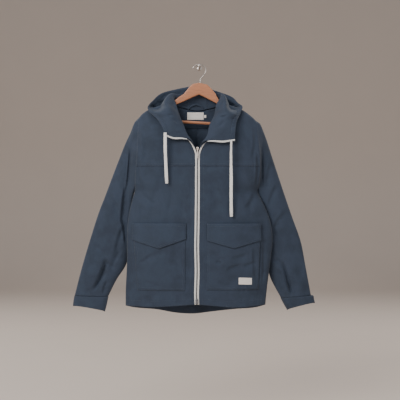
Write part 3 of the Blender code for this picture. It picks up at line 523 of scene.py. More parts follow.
def front_depth(x, z):
    """The front's form with creases, broad sway and puckers, held still at the side seams and the zip."""
    left, right = body_row(z)[:2]
    loose = creases(FRONT_CREASES, x, z) + sway(x, z, 2.0, 0.4) * step(2, 30, shoulder_height(x) - z)
    loose = loose + puckers(FRONT_SEAMS, x, z)
    loose = loose * step(7, 34, np.abs(x - zip_x(z)))
    return front_form(x, z) + loose * held(x, z, left, right)


def back_depth(x, z):
    left, right = body_row(z)[:2]
    loose = creases(BACK_CREASES, x, z) + sway(x, z, 1.8, 2.3) * step(2, 30, shoulder_height(x) - z)
    loose = loose + puckers(BACK_SEAMS, x, z)
    return back_form(x, z) + loose * held(x, z, left, right)


# Finishes

class Amount:
    """A number that varies over a surface; Python's operators on it add Math nodes."""

    def __init__(self, finish, socket):
        self.finish = finish
        self.socket = socket

    def maths(self, operation, *values):
        node = self.finish.node("ShaderNodeMath", {"operation": operation}, dict(enumerate(values)))
        return Amount(self.finish, node.outputs[0])

    def __add__(self, other):
        return self.maths("ADD", self, other)

    def __sub__(self, other):
        return self.maths("SUBTRACT", self, other)

    def __rsub__(self, other):
        return self.maths("SUBTRACT", other, self)

    def __mul__(self, other):
        return self.maths("MULTIPLY", self, other)

    def __truediv__(self, other):
        return self.maths("DIVIDE", self, other)

    def __pow__(self, other):
        return self.maths("POWER", self, other)

    __radd__ = __add__
    __rmul__ = __mul__

    def sine(self):
        return self.maths("SINE", self)

    def size(self):
        return self.maths("ABSOLUTE", self)

    def above(self, low, high):
        """0 below low, 1 above high, and a smooth rise between them."""
        settings = {"interpolation_type": "SMOOTHSTEP"}
        node = self.finish.node("ShaderNodeMapRange", settings, {0: self, 1: low, 2: high, 3: 0.0, 4: 1.0})
        return Amount(self.finish, node.outputs[0])


class Finish:
    """A material made of nodes round one Principled shader."""

    def __init__(self, name, **constants):
        self.material = bpy.data.materials.new(name)
        self.material.use_nodes = True
        self.tree = self.material.node_tree
        self.shader = self.tree.nodes["Principled BSDF"]
        for socket, value in constants.items():
            self.shader.inputs[socket.replace("_", " ")].default_value = value
        self.place = self.node("ShaderNodeTexCoord").outputs["Object"]

    def node(self, kind, settings=None, inputs=None):
        made = self.tree.nodes.new(kind)
        for name, value in (settings or {}).items():
            setattr(made, name, value)
        for key, value in (inputs or {}).items():
            self.join(value, made.inputs[key])
        return made

    def join(self, value, socket):
        if isinstance(value, Amount):
            value = value.socket
        if isinstance(value, bpy.types.NodeSocket):
            self.tree.links.new(value, socket)
        else:
            socket.default_value = value

    def amount(self, socket):
        return Amount(self, socket)

    def cut(self):
        """The two lengths over the cloth as it was cut, in metres, across and along."""
        node = self.node("ShaderNodeUVMap", {"uv_map": "cut"})
        split = self.node("ShaderNodeSeparateXYZ", None, {0: node.outputs[0]})
        return self.amount(split.outputs[0]), self.amount(split.outputs[1])

    def point(self):
        split = self.node("ShaderNodeSeparateXYZ", None, {0: self.place})
        return [self.amount(split.outputs[k]) for k in range(3)]

    def grain(self, scale, detail=2.0, rough=0.5, place=None, warp=0.0):
        inputs = {"Vector": place or self.place, "Scale": scale, "Detail": detail, "Roughness": rough}
        inputs["Distortion"] = warp
        return self.amount(self.node("ShaderNodeTexNoise", None, inputs).outputs[0])

    def stretched(self, factors):
        node = self.node("ShaderNodeVectorMath", {"operation": "MULTIPLY"}, {0: self.place, 1: factors})
        return node.outputs[0]

    def blend(self, amount, first, second, way="MIX"):
        settings = {"data_type": "RGBA", "blend_type": way}
        node = self.node("ShaderNodeMix", settings, {0: amount, 6: first, 7: second})
        return node.outputs[2]

    def attribute(self, name):
        return self.amount(self.node("ShaderNodeAttribute", {"attribute_name": name}).outputs["Fac"])

    def colour(self, socket):
        self.join(socket, self.shader.inputs["Base Color"])

    def rough(self, amount):
        self.join(amount, self.shader.inputs["Roughness"])

    def relief(self, height, distance):
        node = self.node("ShaderNodeBump", None, {"Height": height, "Distance": distance, "Strength": 1.0})
        self.join(node.outputs[0], self.shader.inputs["Normal"])


def shade(colour, factor):
    """The same colour, lighter or darker."""
    return tuple(c * factor for c in colour[:3]) + (1.0,)


def shell_cloth_finish():
    """Proofed cotton: a fine plain weave of two close yarn colours, soft mottling, paler along worn edges."""
    base = shade(colours().cloth, 1.0)
    f = Finish("shell cloth", Sheen_Weight=0.12, Sheen_Roughness=0.45, Specular_IOR_Level=0.32)
    u, v = f.cut()
    thread = 2 * math.pi / sizes().thread_pitch
    warp, weft = (u * thread).sine(), (v * thread).sine()
    weave = (warp * weft) * 0.5 + 0.5
    slub = f.grain(900.0, 2.0)
    mottle = f.grain(26.0, 3.0, 0.6)
    cloud = f.grain(7.0, 2.0)
    worn = 1.0 - f.attribute("edge").above(0.2, 2.6)
    tone = f.blend(mottle.above(0.3, 0.7), shade(base, 0.84), shade(base, 1.14))
    tone = f.blend(cloud.above(0.35, 0.65) * 0.5, tone, shade(base, 1.12))
    tone = f.blend(slub.above(0.55, 0.75) * 0.22, tone, shade(base, 1.3))
    tone = f.blend(worn * slub.above(0.3, 0.6) * 0.3, tone, shade(base, 1.5))
    f.colour(tone)
    f.rough(0.76 + mottle * 0.12)
    crinkle = f.grain(210.0, 3.0, 0.6, warp=0.4)
    f.relief(weave * 0.04 + slub * 0.03 + crinkle * 0.5 + mottle * 1.5, 0.0011)
    return f.material


def thread_finish():
    """Sewing thread: the cloth's colour a little paler, with a fine twist."""
    base = shade(colours().thread, 1.0)
    f = Finish("sewing thread", Sheen_Weight=0.2, Roughness=0.6)
    x, y, z = f.point()
    twist = ((x + z + y) * 9000.0).sine() * 0.5 + 0.5
    f.colour(f.blend(twist, shade(base, 0.8), shade(base, 1.15)))
    f.relief(twist, 0.00006)
    return f.material


def woven_finish(name, colour, rib, soil):
    """Narrow woven goods: ribs across and a fine warp along, a little soiled in patches."""
    base = shade(colour, 1.0)
    f = Finish(name, Sheen_Weight=0.2, Sheen_Roughness=0.4)
    u, v = f.cut()
    warp, weft = (u * (2 * math.pi / rib)).sine(), (v * (2 * math.pi / rib)).sine()
    weave = warp * weft * 0.5 + 0.5
    dirt = f.grain(60.0, 3.0, 0.6).above(0.45, 0.75)
    fine = f.grain(1400.0, 2.0)
    tone = f.blend(weave * 0.35, base, shade(base, 0.82))
    tone = f.blend(dirt * soil, tone, shade(base, 0.78))
    tone = f.blend(fine.above(0.5, 0.8) * 0.25, tone, shade(base, 1.08))
    f.colour(tone)
    f.rough(0.72 + fine * 0.16)
    f.relief(weave * 0.6 + fine * 0.25, 0.00016)
    return f.material


def cord_finish():
    """Flat braid: yarns slanting both ways over the width, with painted shade in the grooves where they dive.
    """
    base = shade(colours().cord, 1.0)
    f = Finish("drawcord braid", Sheen_Weight=0.25, Sheen_Roughness=0.4)
    u, v = f.cut()
    slant = 2 * math.pi / 0.0026
    braid = ((u + v) * slant).sine() * ((u - v) * slant).sine()
    high = braid * 0.5 + 0.5
    fuzz = f.grain(1600.0, 2.0)
    # painted shade: the braid darker in its low grooves, where the yarns dive
    tone = f.blend(high.above(0.1, 0.6), shade(base, 0.76), base)
    tone = f.blend(f.grain(45.0, 3.0).above(0.5, 0.8) * 0.3, tone, shade(base, 0.84))
    f.colour(tone)
    f.rough(0.74 + fuzz * 0.15)
    f.relief(high * 0.8 + fuzz * 0.3, 0.0003)
    return f.material


def wood_finish():
    """Varnished wood: long rings drawn out along the arm, and dark pores."""
    base = shade(colours().wood, 1.0)
    f = Finish("varnished wood", Coat_Weight=0.22, Coat_Roughness=0.28)
    z = f.point()[2]
    rings = f.grain(1.0, 4.0, 0.55, f.stretched((9.0, 60.0, 95.0)), warp=0.9)
    lines = ((rings * 34.0) + z * 220.0).sine() * 0.5 + 0.5
    pores = f.grain(1.0, 3.0, 0.6, f.stretched((45.0, 900.0, 1300.0)))
    tone = f.blend(lines.above(0.15, 0.9) * 0.55, shade(base, 1.12), shade(base, 0.8))
    tone = f.blend(rings.above(0.35, 0.7) * 0.4, tone, shade(base, 1.25))
    tone = f.blend(pores.above(0.56, 0.72) * 0.5, tone, shade(base, 0.55))
    f.colour(tone)
    f.rough(0.36 + pores * 0.2)
    f.relief(lines * 0.1 + pores * 0.5, 0.00012)
    return f.material


def metal_finish(name, colour, rough, marks):
    """Bright or dull metal: fine drawn lines and cloudy tarnish."""
    base = shade(colour, 1.0)
    f = Finish(name, Metallic=1.0)
    drawn = f.grain(1.0, 2.0, 0.5, f.stretched((2600.0, 2600.0, 300.0)))
    cloud = f.grain(120.0, 3.0, 0.6)
    tone = f.blend(cloud.above(0.4, 0.7) * marks, base, shade(base, 0.55))
    f.colour(f.blend(drawn.above(0.5, 0.8) * 0.3, tone, shade(base, 1.2)))
    f.rough(rough + cloud * 0.18 + drawn * 0.08)
    f.relief(drawn * 0.3 + cloud * 0.5, 0.00005)
    return f.material


FINISHES = {
    "shell cloth": shell_cloth_finish,
    "sewing thread": thread_finish,
    "zip tape": lambda: woven_finish("zip tape", colours().tape, 0.0011, 0.35),
    "drawcord braid": cord_finish,
    "sealed cord tip": lambda: woven_finish("sealed cord tip", colours().tape, 0.0016, 0.1),
    "label weave": lambda: woven_finish("label weave", colours().label, 0.0006, 0.25),
    "varnished wood": wood_finish,
    "bright wire": lambda: metal_finish("bright wire", colours().wire, 0.22, 0.4),
    "dull zip metal": lambda: metal_finish("dull zip metal", colours().zip_metal, 0.34, 0.6),
    "polished zip metal": lambda: metal_finish("polished zip metal", shade(colours().wire, 1.6), 0.3, 0.3),
}


def finish_of(name):
    """The finish of this name, made the first time it is asked for."""
    found = bpy.data.materials.get(name)
    return found if found else FINISHES[name]()


def sizes():
    return bpy.context.scene.jacket_sizes


def colours():
    return bpy.context.scene.jacket_colours


# Building blocks

def edge_distance(grid, wrap):
    """Distance of each grid point from the nearest edge of the sheet, measured along the rows and columns."""
    along_u = np.linalg.norm(np.diff(grid, axis=0), axis=-1)
    along_v = np.linalg.norm(np.diff(grid, axis=1), axis=-1)
    u = np.concatenate([np.zeros((1, grid.shape[1])), np.cumsum(along_u, 0)])
    v = np.concatenate([np.zeros((grid.shape[0], 1)), np.cumsum(along_v, 1)], axis=1)
    nearest = np.minimum(v, v[:, -1:] - v)
    if not wrap:
        nearest = np.minimum(nearest, np.minimum(u, u[-1:] - u))
    return u, v, nearest


def normals(grid, wrap=False):
    """Unit normals of a grid of points: the cross product of the steps to its neighbours."""
    if wrap:
        du = np.roll(grid, -1, 0) - np.roll(grid, 1, 0)
    else:
        du = np.gradient(grid, axis=0)
    cross = np.cross(du, np.gradient(grid, axis=1))
    return cross / np.maximum(np.linalg.norm(cross, axis=-1, keepdims=True), 1e-9)


def sheet_faces(rows, columns, wrap):
    """Quads of both sides of a sheet and of its edges; the second side's points follow the first's."""
    size = rows * columns
    number = np.arange(size).reshape(rows, columns)
    if wrap:
        number = np.concatenate([number, number[:1]])
    face = np.stack([number[:-1, :-1], number[1:, :-1], number[1:, 1:], number[:-1, 1:]], -1).reshape(-1, 4)
    parts = [face, face[:, ::-1] + size]
    borders = [(number[:, 0], False), (number[:, -1], True)]
    if not wrap:
        borders += [(number[0], True), (number[-1], False)]
    for line, turned in borders:
        a, b = line[:-1], line[1:]
        quad = np.stack([b, a, a + size, b + size], -1)
        parts.append(quad[:, ::-1] if turned else quad)
    return np.concatenate(parts)


def add_piece(
    name, points, faces, finish, replaces=(), body="jacket", uv=None, edge=None, smooth_shaded=True
):
    """Puts points (mm) and faces into a mesh at the origin, with its finish and its body."""
    mesh = bpy.data.meshes.new(name)
    faces = faces.tolist() if isinstance(faces, np.ndarray) else faces
    mesh.from_pydata((np.asarray(points) * TO_METRES).tolist(), [], faces)
    mesh.update()
    mesh.polygons.foreach_set("use_smooth", [smooth_shaded] * len(mesh.polygons))
    corner = np.empty(len(mesh.loops), np.int32)
    mesh.loops.foreach_get("vertex_index", corner)
    if uv is not None:
        layer = mesh.uv_layers.new(name="cut")
        layer.data.foreach_set("uv", (uv * TO_METRES)[corner].ravel())
    if edge is not None:
        layer = mesh.attributes.new("edge", "FLOAT", "POINT")
        layer.data.foreach_set("value", edge.astype(np.float32))
    mesh.materials.append(finish_of(finish))
    piece = bpy.data.objects.new(name, mesh)
    bpy.context.scene.collection.objects.link(piece)
    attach(piece, body)
    if replaces:
        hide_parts(*replaces)
    return piece


def cloth(name, grid, finish="shell cloth", thick=None, wrap=False, replaces=()):
    """A cloth piece: its middle grid moved half its thickness to both sides, closed round its edges."""
    if thick is None:
        thick = sizes().cloth_thickness / TO_METRES
    u, v, nearest = edge_distance(grid, wrap)
    out = normals(grid, wrap) * thick / 2
    points = np.concatenate([(grid + out).reshape(-1, 3), (grid - out).reshape(-1, 3)])
    uv = np.stack([u, v], -1).reshape(-1, 2)
    return add_piece(
        name,
        points,
        sheet_faces(grid.shape[0], grid.shape[1], wrap),
        finish,
        replaces,
        uv=np.concatenate([uv, uv]),
        edge=np.tile(nearest.reshape(-1), 2),
    )


def tube_faces(count, size):
    """Quads between closed rings, and a many-sided face at both ends."""
    i, j = np.meshgrid(np.arange(count - 1), np.arange(size), indexing="ij")
    k = (j + 1) % size
    quads = np.stack([i * size + j, i * size + k, (i + 1) * size + k, (i + 1) * size + j], -1).reshape(-1, 4)
    return quads.tolist() + [list(range(size - 1, -1, -1)), [(count - 1) * size + j for j in range(size)]]


def tube(name, rings, finish, replaces=(), body="jacket", smooth_shaded=True):
    """Closed rings joined one to the next and capped, turned inside out if they run the other way."""
    count, size = rings.shape[:2]
    faces = tube_faces(count, size)
    along = rings[1:].mean(1) - rings[:-1].mean(1)
    arms = rings[:-1] - rings[:-1].mean(1, keepdims=True)
    turn = np.einsum("ijk,ik->", np.cross(arms, np.roll(arms, -1, 1)), along)
    if turn < 0:
        faces = [f[::-1] for f in faces]
    lengths = np.concatenate([[0], np.cumsum(np.linalg.norm(along, axis=1))])
    round_it = np.linspace(0, np.linalg.norm(arms[0], axis=1).mean() * 2 * math.pi, size)
    uv = np.stack(np.meshgrid(lengths, round_it, indexing="ij")[::-1], -1).reshape(-1, 2)
    points = rings.reshape(-1, 3)
    return add_piece(name, points, faces, finish, replaces, body, uv, smooth_shaded=smooth_shaded)


def sweep(path, radius, sides, up=(0.0, 1.0, 0.0)):
    """Rings of a round bar: at each point of the path a circle square to it, sized by the radius there."""
    ahead = np.gradient(path, axis=0)
    ahead /= np.linalg.norm(ahead, axis=1, keepdims=True)
    side = np.cross(ahead, np.asarray(up, float))
    side /= np.maximum(np.linalg.norm(side, axis=1, keepdims=True), 1e-9)
    over = np.cross(side, ahead)
    turn = np.linspace(0, 2 * math.pi, sides, endpoint=False)
    radius = np.broadcast_to(radius, len(path))[:, None, None]
    ring = np.cos(turn)[None, :, None] * side[:, None, :] + np.sin(turn)[None, :, None] * over[:, None, :]
    return path[:, None, :] + radius * ring


def even_steps(path, pitch):
    """Points the same distance apart along a line, with the line's own ends left out."""
    run = np.concatenate([[0], np.cumsum(np.linalg.norm(np.diff(path, axis=0), axis=1))])
    count = max(int(run[-1] / pitch), 2)
    at = (np.arange(count) + 0.5) * run[-1] / count
    return np.stack([np.interp(at, run, path[:, k]) for k in range(path.shape[1])], -1)


BEAD = np.array([(-0.5, 0, 0.1), (-0.28, -0.5, 0.2), (-0.28, 0, 1), (-0.28, 0.5, 0.2), (-0.28, 0, -0.6),
                 (0.28, -0.5, 0.2), (0.28, 0, 1), (0.28, 0.5, 0.2), (0.28, 0, -0.6), (0.5, 0, 0.1)])
BEAD_FACES = [(0, 2, 1), (0, 3, 2), (0, 4, 3), (0, 1, 4),
              (1, 2, 6, 5), (2, 3, 7, 6), (3, 4, 8, 7), (4, 1, 5, 8),
              (5, 6, 9), (6, 7, 9), (7, 8, 9), (8, 5, 9)]
BLOCK = np.array([(x, y, z) for z in (0, 1) for x, y in ((-0.5, -0.5), (0.5, -0.5), (0.5, 0.5), (-0.5, 0.5))])
BLOCK_FACES = [(3, 2, 1, 0), (4, 5, 6, 7), (0, 1, 5, 4), (1, 2, 6, 5), (2, 3, 7, 6), (3, 0, 4, 7)]


def copies(form, faces, places, ahead, up, size):
    """One small form set at many places: its own x, y and z along ahead, sideways and up, times the sizes."""
    ahead = ahead / np.linalg.norm(ahead, axis=1, keepdims=True)
    side = np.cross(up, ahead)
    side /= np.maximum(np.linalg.norm(side, axis=1, keepdims=True), 1e-9)
    up = np.cross(ahead, side)
    size = np.broadcast_to(size, (len(places), 3))
    local = form[None] * size[:, None, :]
    axes = np.stack([ahead, side, up], 1)
    points = places[:, None, :] + np.einsum("nvk,nkc->nvc", local, axes)
    start = np.arange(len(places)) * len(form)
    all_faces = []
    for face in faces:
        all_faces.append((start[:, None] + np.array(face)[None, :]).tolist())
    return points.reshape(-1, 3), [face for group in all_faces for face in group]


def stitch_row(path, up):
    """Stitches along a line of the cloth: thin beads in a row, a little uneven in length."""
    s = sizes()
    pitch = s.stitch_pitch / TO_METRES
    both = even_steps(np.concatenate([path, up], axis=1), pitch)
    places, up = both[:, :3], both[:, 3:]
    ahead = np.gradient(places, axis=0)
    number = np.arange(len(places))
    uneven = 1 + 0.06 * np.sin(2.7 * number) + 0.04 * np.sin(7.3 * number)
    length = pitch * 0.74 * uneven
    size = np.stack([length, 0.5 + 0 * length, 0.24 + 0 * length], -1)
    return copies(BEAD, BEAD_FACES, places + 0.03 * up, ahead, up, size)


def join(parts):
    """Several sets of points and faces as one."""
    points, faces, start = [], [], 0
    for some_points, some_faces in parts:
        points.append(some_points)
        faces += [tuple(k + start for k in f) for f in some_faces]
        start += len(some_points)
    return np.concatenate(points), faces


def on_surface(depth, x, z, lift):
    """Points of a line on a sheet of the front or back, and the way the sheet faces there (towards -y)."""
    e = 0.5
    y = depth(x, z)
    slope_x = (depth(x + e, z) - depth(x - e, z)) / (2 * e)
    slope_z = (depth(x, z + e) - depth(x, z - e)) / (2 * e)
    up = np.stack([slope_x, -np.ones_like(slope_x), slope_z], -1)
    up /= np.linalg.norm(up, axis=1, keepdims=True)
    return np.stack([x, y, z], -1) + up * lift, up


def along_grid(grid, u_line, v_line, lift, wrap=False):
    """Points of a line over a grid: row and column numbers, read between the grid's points."""
    out = normals(grid, wrap)
    rows, columns = grid.shape[:2]
    u = np.mod(u_line, rows) if wrap else np.clip(u_line, 0, rows - 1.001)
    v = np.clip(v_line, 0, columns - 1.001)
    i, j = u.astype(int), v.astype(int)
    k = (i + 1) % rows
    a, b = (u - i)[:, None], (v - j)[:, None]

    def between(values):
        low = values[i, j] * (1 - b) + values[i, j + 1] * b
        high = values[k, j] * (1 - b) + values[k, j + 1] * b
        return low * (1 - a) + high * a

    up = between(out)
    up /= np.linalg.norm(up, axis=1, keepdims=True)
    return between(grid) + up * lift, up


def span(count):
    return np.linspace(0, 1, count)


# Pieces of the body

def finer(count, power=0.5):
    """Steps from 0 to 1, part even and part growing finer towards 1."""
    t = span(count)
    return (1 - power) * t + power * np.sin(t * math.pi / 2)


def zip_x(z):
    return smooth(ZIP_LINE[:, 0], ZIP_LINE[:, 1], z)


def inner_edge(side, z):
    """x of the front's inner edge: along the zip, then round the neck."""
    neck = smooth(NECK_FRONT[:, 0], NECK_FRONT[:, 1 if side < 0 else 2], z)
    return np.where(z < NECK_FRONT[0, 0], zip_x(z) + side * ZIP_PANEL_EDGE, neck)


def outer_edge(side, z):
    return body_row(z)[0 if side < 0 else 1]


def front_grid(side, inner_heights, outer_heights, top, bottom, across_count):
    """Straight rows from the inner to the outer edge, bent to the shoulder line and the hem."""
    u = finer(across_count)[:, None]
    v = span(len(inner_heights))[None, :]
    z_line = inner_heights + (outer_heights - inner_heights) * u
    x = inner_edge(side, inner_heights) * (1 - u) + outer_edge(side, outer_heights) * u
    z = z_line.copy()
    if top is not None:
        z += (top(x) - z_line[:, :1]) * (1 - v) ** 3
    if bottom is not None:
        z += (bottom(x) - z_line[:, -1:]) * v**3
    return np.stack([x, front_depth(x, z), z], -1)


def hem_front(x):
    return smooth(HEM_FRONT[:, 0], HEM_FRONT[:, 1], x)


def hem_back(x):
    return smooth(HEM_BACK[:, 0], HEM_BACK[:, 1], x)


def yoke_lap(z):
    """How far the yoke's lower edge stands over the front that it is sewn on."""
    return 1.1 * step(-340, -356, z)


def make_yoke(side, word):
    tip = -190.5 if side < 0 else -201.0
    low = YOKE_SEAM_HEIGHT - 3.5
    rows = span(86) ** 1.6
    grid = front_grid(
        side, -131.0 + (low + 131.0) * rows, tip + (low - tip) * rows, shoulder_height, None, 92
    )
    grid[..., 1] -= yoke_lap(grid[..., 2])
    piece = cloth("yoke_cloth_" + word, grid, replaces=("yoke_" + word,))
    return piece


def make_front(side, word):
    heights = YOKE_SEAM_HEIGHT + 4 + (HEM_HEIGHT - YOKE_SEAM_HEIGHT - 4) * span(176)
    grid = front_grid(side, heights, heights, None, hem_front, 92)
    piece = cloth("front_cloth_" + word, grid, replaces=("front_" + word,))
    return piece


def back_grid(side, across_count, down_count):
    """Rows from the centre-back seam to the side seam, bent to the neck and shoulder line and to the hem."""
    v = (span(down_count) ** 1.5)[None, :]
    u = finer(across_count)[:, None]
    tip = -191.5 if side < 0 else -202.0
    inner = -159.0 + (HEM_HEIGHT + 159.0) * v
    outer = tip + (HEM_HEIGHT - tip) * v
    z_line = inner + (outer - inner) * u
    x = MIDDLE_X * (1 - u) + outer_edge(side, outer) * u
    top = np.where(
        (x[:, :1] > NECK_BACK[0, 0]) & (x[:, :1] < NECK_BACK[-1, 0]),
        smooth(NECK_BACK[:, 0], NECK_BACK[:, 1], x[:, :1]) - 1.2,
        shoulder_height(x[:, :1]),
    )
    z = z_line + (top - z_line[:, :1]) * (1 - v) ** 4 + (hem_back(x[:, -1:]) - z_line[:, -1:]) * v**4
    return np.stack([x, back_depth(x, z), z], -1)


def make_back(side, word):
    grid = back_grid(side, 92, 190)
    piece = cloth("back_cloth_" + word, grid, replaces=("back_" + word,))
    return piece


# Sleeves

def sleeve_section(row, angle):
    """One ring of a sleeve, an oval from its outer to its inner edge."""
    outer_x, outer_z, inner_x, inner_z, depth, half = row
    c, s = np.cos(angle), np.sin(angle)
    x = (outer_x + inner_x) / 2 + (outer_x - inner_x) / 2 * c
    z = (outer_z + inner_z) / 2 + (outer_z - inner_z) / 2 * c
    y = depth - half * np.sign(s) * np.abs(s) ** 0.8
    return np.stack([x, y, z], -1)


def armhole(side, angle):
    """The ring where a sleeve meets the body's edge, from the shoulder line down to the underarm."""
    table = SLEEVE_LEFT if side < 0 else SLEEVE_RIGHT
    ring = sleeve_section(table[0], angle)
    low = table[0, 3]
    top = float(shoulder_height(outer_edge(side, table[0, 1])))
    z = low + (ring[:, 2] - low) * (top - low) / (table[0, 1] - low)
    x = outer_edge(side, z)
    ring[:, 0] = x + side * 1.6 * np.clip((UNDERARM_HEIGHT + 40 - z) / 40, 0, 1)
    ring[:, 1] = np.where(np.sin(angle) > 0, front_depth(x, z), back_depth(x, z))
    ring[:, 2] = z
    return ring


def sleeve_grid(side, around, along):
    """Rings from the armhole to the wrist; the armhole's own shape dies out over the first third."""
    table = SLEEVE_LEFT if side < 0 else SLEEVE_RIGHT
    angle = np.linspace(0, 2 * math.pi, around, endpoint=False)
    rows = smooth(np.arange(len(table)), table, np.linspace(0, len(table) - 1, along))
    rings = np.stack([sleeve_section(row, angle) for row in rows], 1)
    change = armhole(side, angle) - rings[:, 0]
    t = span(along)
    fade = np.clip(1 - t / 0.36, 0, 1) ** 1.6
    rings += change[:, None, :] * fade[None, :, None]
    front = np.clip(np.sin(angle), 0, 1)[:, None] ** 0.5
    rear = np.clip(-np.sin(angle), 0, 1)[:, None] ** 0.5
    x, z = rings[..., 0].copy(), rings[..., 2].copy()
    rings[..., 1] += folds(SLEEVE_FOLDS, x, z) * front * (1 - fade)
    free = step(0.0, 0.05, t)[None, :] * step(0.0, 0.03, 1 - t)[None, :]
    rings[..., 1] += (creases(SLEEVE_CREASES, x, z) + sway(x, z, 1.2, 3.1)) * front * free
    rings[..., 1] -= (creases(SLEEVE_BACK_CREASES, x, z) + sway(x, z, 1.4, 5.2)) * rear * free
    return rings


def make_sleeve(side, word):
    grid = sleeve_grid(side, 120, 190)
    piece = cloth("sleeve_cloth_" + word, grid, wrap=True, replaces=("sleeve_" + word,))
    return piece


def cuff_grid(side, around, along):
    """Rings of the cuff's band through its table's rows; its front hem rides up over the opening."""
    table = CUFF_LEFT if side < 0 else CUFF_RIGHT
    angle = np.linspace(0, 2 * math.pi, around, endpoint=False)
    rows = smooth(np.arange(len(table)), table, np.linspace(0, len(table) - 1, along))
    grid = np.stack([sleeve_section(row, angle) for row in rows], 1)
    grid[..., 2] += 7.0 * np.clip(np.sin(angle), 0, 1)[:, None] ** 0.5 * span(along)[None, :] ** 2
    return grid


def make_cuff(side, word):
    grid = cuff_grid(side, 96, 22)
    piece = cloth("cuff_band_" + word, grid, thick=2.4, wrap=True, replaces=("cuff_" + word,))
    return piece


# Hood

def hood_rows():
    """The hood's table as rows of five points, each neck point at the depth of the body's edge."""
    points = HOOD.reshape(len(HOOD), 5, 3).copy()
    for i, row in enumerate(points):
        x, _, z = row[0]
        row[0, 1] = front_form(x, z) if i < 5 or i > 11 else back_form(x, z)
    return points


def hood_grid(start, end, along_count, out_count):
    """A sheet through the hood's rows, each row a curve from the neck over the roll and ridge to the rim."""
    points = hood_rows()
    at = np.linspace(start, end, along_count)
    rows = smooth(np.arange(len(points)), points, at)
    stations = np.linspace(0.0, 1, out_count)
    grid = np.moveaxis(smooth(HOOD_KNOTS, np.moveaxis(rows, 1, 0), stations), 0, 1)
    run = np.concatenate(
        [np.zeros((len(grid), 1)), np.cumsum(np.linalg.norm(np.diff(grid, axis=1), axis=-1), 1)], axis=1
    )
    from_rim = run[:, -1:] - run
    x, z = grid[..., 0].copy(), grid[..., 2].copy()
    v = stations[None, :]
    face = step(0.02, 0.1, v) * (1 - step(0.42, 0.6, v))
    rear = step(0.6, 0.75, v) * step(0, 8, from_rim)
    grid[..., 1] += (creases(HOOD_FACE_CREASES, x, z) + sway(x, z, 1.0, 1.7)) * face
    grid[..., 1] += (creases(HOOD_REAR_CREASES, x, z) + sway(x, z, 1.6, 4.4)) * rear
    channel = step(0, 2, from_rim) * (1 - step(15, 17, from_rim))
    groove = np.exp(-(((from_rim - 17) / 2.2) ** 2))
    out = normals(grid)
    along = at[:, None] * 40.0
    lift = 0.9 * channel - 0.8 * groove + 0.4 * ripple(along, 0.9) * np.exp(-(((from_rim - 14) / 10) ** 2))
    return grid + out * lift[..., None]


def make_hood():
    for name, node, start, end, count in (
        ("hood_side_left", "hood_left", 0, HOOD_CENTRE_FROM + 0.03, 170),
        ("hood_panel", "hood_centre", HOOD_CENTRE_FROM - 0.03, HOOD_CENTRE_TO + 0.03, 60),
        ("hood_side_right", "hood_right", HOOD_CENTRE_TO - 0.03, len(HOOD) - 1, 170),
    ):
        grid = hood_grid(start, end, count, 96)
        if node == "hood_centre":
            grid += normals(grid) * 0.7
        piece = cloth(name, grid, replaces=(node,))


# Pockets and labels

def pocket_sides(pocket, b):
    left = pocket[0] + (pocket[2] - pocket[0]) * b
    return left, pocket[1] + (pocket[3] - pocket[1]) * b


def pocket_lift(pocket, x, z):
    """How far a pocket stands off the front: sewn down all round, fuller in the middle."""
    b = np.clip((z - pocket[4]) / (pocket[5] - pocket[4]), -0.1, 1)
    left, right = pocket_sides(pocket, b)
    a = np.clip((x - left) / (right - left), 0, 1)
    puff = np.sin(math.pi * a) ** 0.7 * np.clip(np.cos(math.pi / 2 * b), 0, 1) ** 0.6
    gape = pocket[6] * (1 - a) ** 4 + pocket[7] * a**4
    return POCKET_LIFT + POCKET_PUFF * puff + gape * np.clip(1.3 - b, 0, 1)


def pocket_depth(pocket, x, z):
    """The pocket's sheet: rolled down to the front along its sewn edges, creased in between."""
    b = np.clip((z - pocket[4]) / (pocket[5] - pocket[4]), 0, 1)
    left, right = pocket_sides(pocket, b)
    in_x = np.minimum(x - left, right - x)
    inside = np.minimum(in_x, z - pocket[5])
    loose = creases(POCKET_CREASES, x, z) + sway(x, z, 0.8, 2.9)
    loose = loose + 0.5 * ripple(x + 1.7 * z, 0.5) * np.exp(-((inside / 9.0) ** 2))
    sunk = 0.9 * (1 - step(0, 5, inside))
    return front_depth(x, z) - pocket_lift(pocket, x, z) + sunk + loose * step(0, 6, inside)


def pocket_grid(pocket, across_count, down_count):
    a, b = np.meshgrid(span(across_count), span(down_count), indexing="ij")
    left, right = pocket_sides(pocket, b)
    x = left * (1 - a) + right * a
    z = pocket[4] + (pocket[5] - pocket[4]) * b
    return np.stack([x, pocket_depth(pocket, x, z), z], -1)


def flap_depth(pocket, flap, x, z):
    b = np.clip((z - flap[2]) / (flap[4] - flap[2]), 0, 1)
    return pocket_depth(pocket, x, z) - FLAP_LIFT * step(-0.02, 0.12, b) - 0.4 - 1.6 * b


def flap_grid(pocket, flap, across_count, down_count):
    a, b = np.meshgrid(span(across_count), span(down_count), indexing="ij")
    x = flap[0] + (flap[1] - flap[0]) * a
    corner = np.where(a < 0.5, flap[3], flap[5])
    low = flap[4] + (corner - flap[4]) * np.abs(2 * a - 1)
    z = flap[2] + (low - flap[2]) * b
    return np.stack([x, flap_depth(pocket, flap, x, z), z], -1)


def make_pocket(word, pocket, flap):
    piece = cloth("pocket_cloth_" + word, pocket_grid(pocket, 80, 90), replaces=("pocket_" + word,))
    grid = flap_grid(pocket, flap, 81, 34)
    piece = cloth("flap_cloth_" + word, grid, thick=2.4, replaces=("flap_" + word,))


